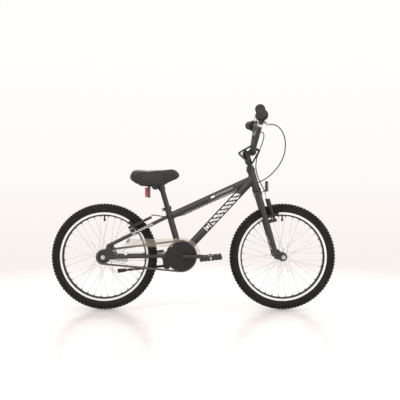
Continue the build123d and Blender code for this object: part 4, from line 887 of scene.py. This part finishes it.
def spiral(name, points, turns, body):
    """A strip wound round a housing, in a pale grey that is painted light: it stands in for the bright backdrop
    seen through the thin gap under the top tube.
    """
    spots = frames_along(points)
    centre = []
    steps = turns * 12
    for i in range(steps + 1):
        place = i / steps * (len(spots) - 1)
        low = min(int(place), len(spots) - 2)
        part = place - low
        here = spots[low][0].lerp(spots[low + 1][0], part)
        side = spots[low][1].lerp(spots[low + 1][1], part).normalized()
        cross = spots[low][2].lerp(spots[low + 1][2], part).normalized()
        angle = 2 * pi * i / 12
        centre.append(here + (side * cos(angle) + cross * sin(angle)) * 2.9 * MM)
    shell = Shell()
    shell.loft(tube_rings(centre, 1.1 * MM, 6))
    return shell.piece(name, GAP_LIGHT_GREY, "cable_jacket", body)


def noodle(name, entry, arm_y, arm_x, arm_z, body):
    """The bent guide tube that turns the cable into a brake arm's top."""
    route = [entry, tuple(a + (b - a) * 0.45 for a, b in zip(entry, (arm_x, arm_y + 20, arm_z))),
             (arm_x, arm_y + 20, arm_z), (arm_x, arm_y + 13, arm_z), (arm_x, arm_y + 7, arm_z)]
    points = nurbs_line(name, route)
    shell = Shell()
    shell.loft(tube_rings(points, 2.3 * MM, 14))
    return shell.piece(name, LOOKS["bright_steel"], "bright_steel", body)


def boot(name, arm_y, arm_x, arm_z, body):
    """The folded rubber boot between the brake arms."""
    start, end = mm(arm_x, arm_y - 12, arm_z), mm(arm_x, -arm_y + 12, arm_z)
    span = (end - start).length / MM
    profile = [(0.0, 1.0), (0.0, 3.6), (3.0, 3.6)]
    folds = 9
    for i in range(folds):
        at = 4 + i * (span - 8) / folds
        profile += [(at, 2.9), (at + 0.5 * (span - 8) / folds, 5.1 - 1.2 * i / folds)]
    profile += [(span - 3, 2.6), (span, 2.2), (span, 0.9)]
    shell = Shell()
    shell.loft(turned(start, end, [(d * MM, r * MM) for d, r in profile], 24))
    return shell.piece(name, LOOKS["soft_rubber"], "soft_rubber", body, radians(70))


def inner_wire(name, arm_y, arm_x, arm_z, body):
    """The bare wire between the two arms and out past the far one."""
    start, end = mm(arm_x, arm_y + 9, arm_z), mm(arm_x, -arm_y - 15, arm_z)
    shell = Shell()
    shell.loft(turned(start, end, [(0, 0.8 * MM), ((2 * arm_y + 24) * MM, 0.8 * MM)], 10))
    return shell.piece(name, LOOKS["bright_steel"], "bright_steel", body)


def cables():
    loop, loop_line = housing("rear_cable_loop_housing", lever_end(-1) + REAR_LOOP, None)
    ends = Shell()
    ferrule(ends, loop_line[0], (loop_line[1] - loop_line[0]).normalized())
    caps = ends.piece("rear_loop_ferrule", LOOKS["bright_steel"], "bright_steel", "fork")
    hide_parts("rear_cable_loop")
    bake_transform(loop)

    run, run_line = housing("rear_cable_housing", REAR_RUN, "frame")
    # The pale spiral under the top tube is painted light, standing in for the bright backdrop seen through the
    # thin gap between the housing and the tube.
    gap_light_spiral = spiral("rear_cable_gap_light_spiral", [p for p in run_line if -0.09 < p.x < 0.235], 30, "frame")
    bend = noodle("rear_noodle", REAR_RUN[-1], *REAR_ARM, "frame")
    boot("rear_cable_boot", *REAR_ARM, "frame")
    inner_wire("rear_inner_wire", *REAR_ARM, "frame")
    ends = Shell()
    ferrule(ends, run_line[-1], (run_line[-1] - run_line[-2]).normalized())
    caps = ends.piece("rear_ferrule", LOOKS["bright_steel"], "bright_steel", "frame")
    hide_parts("rear_brake_cable")

    front, front_line = housing("front_cable_housing", lever_end(1) + FRONT_RUN, "fork")
    bend = noodle("front_noodle", FRONT_RUN[-1], *FRONT_ARM, "fork")
    boot("front_cable_boot", *FRONT_ARM, "fork")
    inner_wire("front_inner_wire", *FRONT_ARM, "fork")
    ends = Shell()
    ferrule(ends, front_line[0], (front_line[1] - front_line[0]).normalized())
    ferrule(ends, front_line[-1], (front_line[-1] - front_line[-2]).normalized())
    caps = ends.piece("front_ferrules", LOOKS["bright_steel"], "bright_steel", "fork")
    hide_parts("front_brake_cable")


cables()


# ---------------------------------------------------------------- weld beads
HEAD_LOW = mm(393.2, 0, 253) + LEAN * 0.34
RISER_LOW = mm(282, 52, 753)
BEAD_POINTS = 96
BEAD_PROUD = 0.3
BB_R, DOWN_R, TOP_R, SEAT_R, HEAD_R = 28.5, 19.0, 17.0, 15.0, 18.0


def bead(shell, start, direction, radius, axis_point, axis, other_radius):
    """A rippled weld round a tube where it leaves another tube's surface."""
    direction = direction.normalized()
    side = direction.orthogonal().normalized()
    cross = direction.cross(side)
    line = []
    for i in range(BEAD_POINTS):
        angle = 2 * pi * i / BEAD_POINTS
        rim = start + (side * cos(angle) + cross * sin(angle)) * (radius + BEAD_PROUD) * MM
        reach = (rim - axis_point).cross(axis)
        drift = direction.cross(axis)
        a = drift.length_squared
        b = 2 * reach.dot(drift)
        c = reach.length_squared - ((other_radius + BEAD_PROUD) * MM) ** 2
        root = max(b * b - 4 * a * c, 0.0)
        line.append(rim + direction * ((-b + sqrt(root)) / (2 * a)))
    rings = []
    for i, here in enumerate(line):
        run = (line[(i + 1) % BEAD_POINTS] - line[i - 1]).normalized()
        out = (here - start - direction * (here - start).dot(direction)).normalized()
        out = (out - run * out.dot(run)).normalized()
        over = run.cross(out)
        r = (1.75 + 0.3 * sin(2 * pi * i / 4)) * MM
        turns = [2 * pi * k / 8 for k in range(8)]
        rings.append([here + out * r * cos(turn) + over * r * 1.3 * sin(turn) for turn in turns])
    shell.loft(rings, closed=True)


def welds():
    across = Vector((0, 1, 0))
    beads = Shell()
    bead(beads, BB_CENTRE, HEAD_JOINT - BB_CENTRE, DOWN_R, BB_CENTRE, across, BB_R)
    bead(beads, BB_CENTRE, LEAN, SEAT_R, BB_CENTRE, across, BB_R)
    bead(beads, HEAD_JOINT, BB_CENTRE - HEAD_JOINT, DOWN_R, HEAD_LOW, LEAN, HEAD_R)
    bead(beads, HEAD_JOINT, TOP_REAR - HEAD_JOINT, TOP_R, HEAD_LOW, LEAN, HEAD_R)
    bead(beads, TOP_REAR, HEAD_JOINT - TOP_REAR, TOP_R, BB_CENTRE, LEAN, SEAT_R)
    beads.piece("frame_weld_beads", LOOKS["frame_paint"], "frame_paint", "frame")
    bar = Shell()
    riser = BAR_BEND - RISER_LOW
    weld = RISER_LOW + riser * 0.62
    for side in (-1, 1):
        place = Vector((weld.x, side * weld.y, weld.z))
        axis = Vector((riser.x, side * riser.y, riser.z)).normalized()
        bead(bar, place, Vector((0, -side, 0)), 9.5, place, axis, 11.1)
    bar.piece("bar_weld_beads", LOOKS["frame_paint"], "frame_paint", "fork")


welds()


# ---------------------------------------------------------------- stage, lights, camera
FLOOR_SOLID = 0.9
FLOOR_CLEAR = 2.6
BACKDROP = [(0.15, (1.0, 0.990, 0.980)), (0.30, (0.945, 0.875, 0.835)), (0.44, (0.965, 0.915, 0.885)),
            (0.62, (0.990, 0.975, 0.960)), (0.85, (1.0, 0.995, 0.990))]


def floor():
    """A pale disc under the wheels, solid in the middle and clear at its edge."""
    bpy.ops.mesh.primitive_circle_add(vertices=96, radius=4.0, fill_type="NGON", location=(0, 0, -0.0008))
    disc = bpy.context.object
    disc.name = "studio_floor"
    look = Look("pale_floor", Specular_IOR_Level=0.6)
    far = look.distance(look.x, look.y)
    look.put(look.shader.inputs["Alpha"], look.ramp(far, FLOOR_SOLID, FLOOR_CLEAR, 1.0, 0.0))
    colour = aged(look, (0.86, 0.80, 0.77), 0.012, 3.0)
    disc.data.materials.append(look.done(colour, uneven(look, 0.24, 0.03, 6.0)))


def area_light(name, place, target, size, energy):
    data = bpy.data.lights.new(name, "AREA")
    data.shape = "SQUARE"
    data.size = size
    data.energy = energy
    lamp = bpy.data.objects.new(name, data)
    lamp.location = place
    lamp.rotation_euler = (Vector(target) - Vector(place)).to_track_quat("-Z", "Y").to_euler()
    bpy.context.collection.objects.link(lamp)


def studio_world(scene):
    """A white surround that turns faintly pink about the horizon."""
    world = bpy.data.worlds.new("studio")
    world.use_nodes = True
    nodes, link = world.node_tree.nodes, world.node_tree.links.new
    nodes["Background"].inputs["Strength"].default_value = 1.0
    direction = nodes.new("ShaderNodeTexCoord")
    parts = nodes.new("ShaderNodeSeparateXYZ")
    height = nodes.new("ShaderNodeMapRange")
    backdrop = nodes.new("ShaderNodeValToRGB")
    height.inputs["From Min"].default_value = -0.3
    height.inputs["From Max"].default_value = 0.3
    link(direction.outputs["Generated"], parts.inputs["Vector"])
    link(parts.outputs["Z"], height.inputs["Value"])
    link(height.outputs["Result"], backdrop.inputs["Fac"])
    link(backdrop.outputs["Color"], nodes["Background"].inputs["Color"])
    stops = backdrop.color_ramp.elements
    for i, (spot, colour) in enumerate(BACKDROP):
        stop = stops[i] if i < 2 else stops.new(spot)
        stop.position = spot
        stop.color = (*colour, 1.0)
    scene.world = world


def side_camera(scene):
    """A camera level with the bicycle's middle, looking at its right side."""
    camera = bpy.data.objects.new("camera", bpy.data.cameras.new("camera"))
    camera.data.sensor_width = 36
    camera.data.lens = 62
    camera.location = (0.0316, -3.3, 0.523)
    camera.rotation_euler = (radians(90), 0, 0)
    bpy.context.collection.objects.link(camera)
    scene.camera = camera


floor()
area_light("key", (-1.6, -2.6, 3.0), (0, 0, 0.35), 2.2, 62)
area_light("fill", (2.4, -2.2, 1.4), (0.1, 0, 0.5), 1.8, 26)
area_light("back", (0.4, 2.6, 2.4), (0, 0, 0.5), 2.2, 45)
bpy.context.scene.view_settings.view_transform = "Standard"
studio_world(bpy.context.scene)
side_camera(bpy.context.scene)
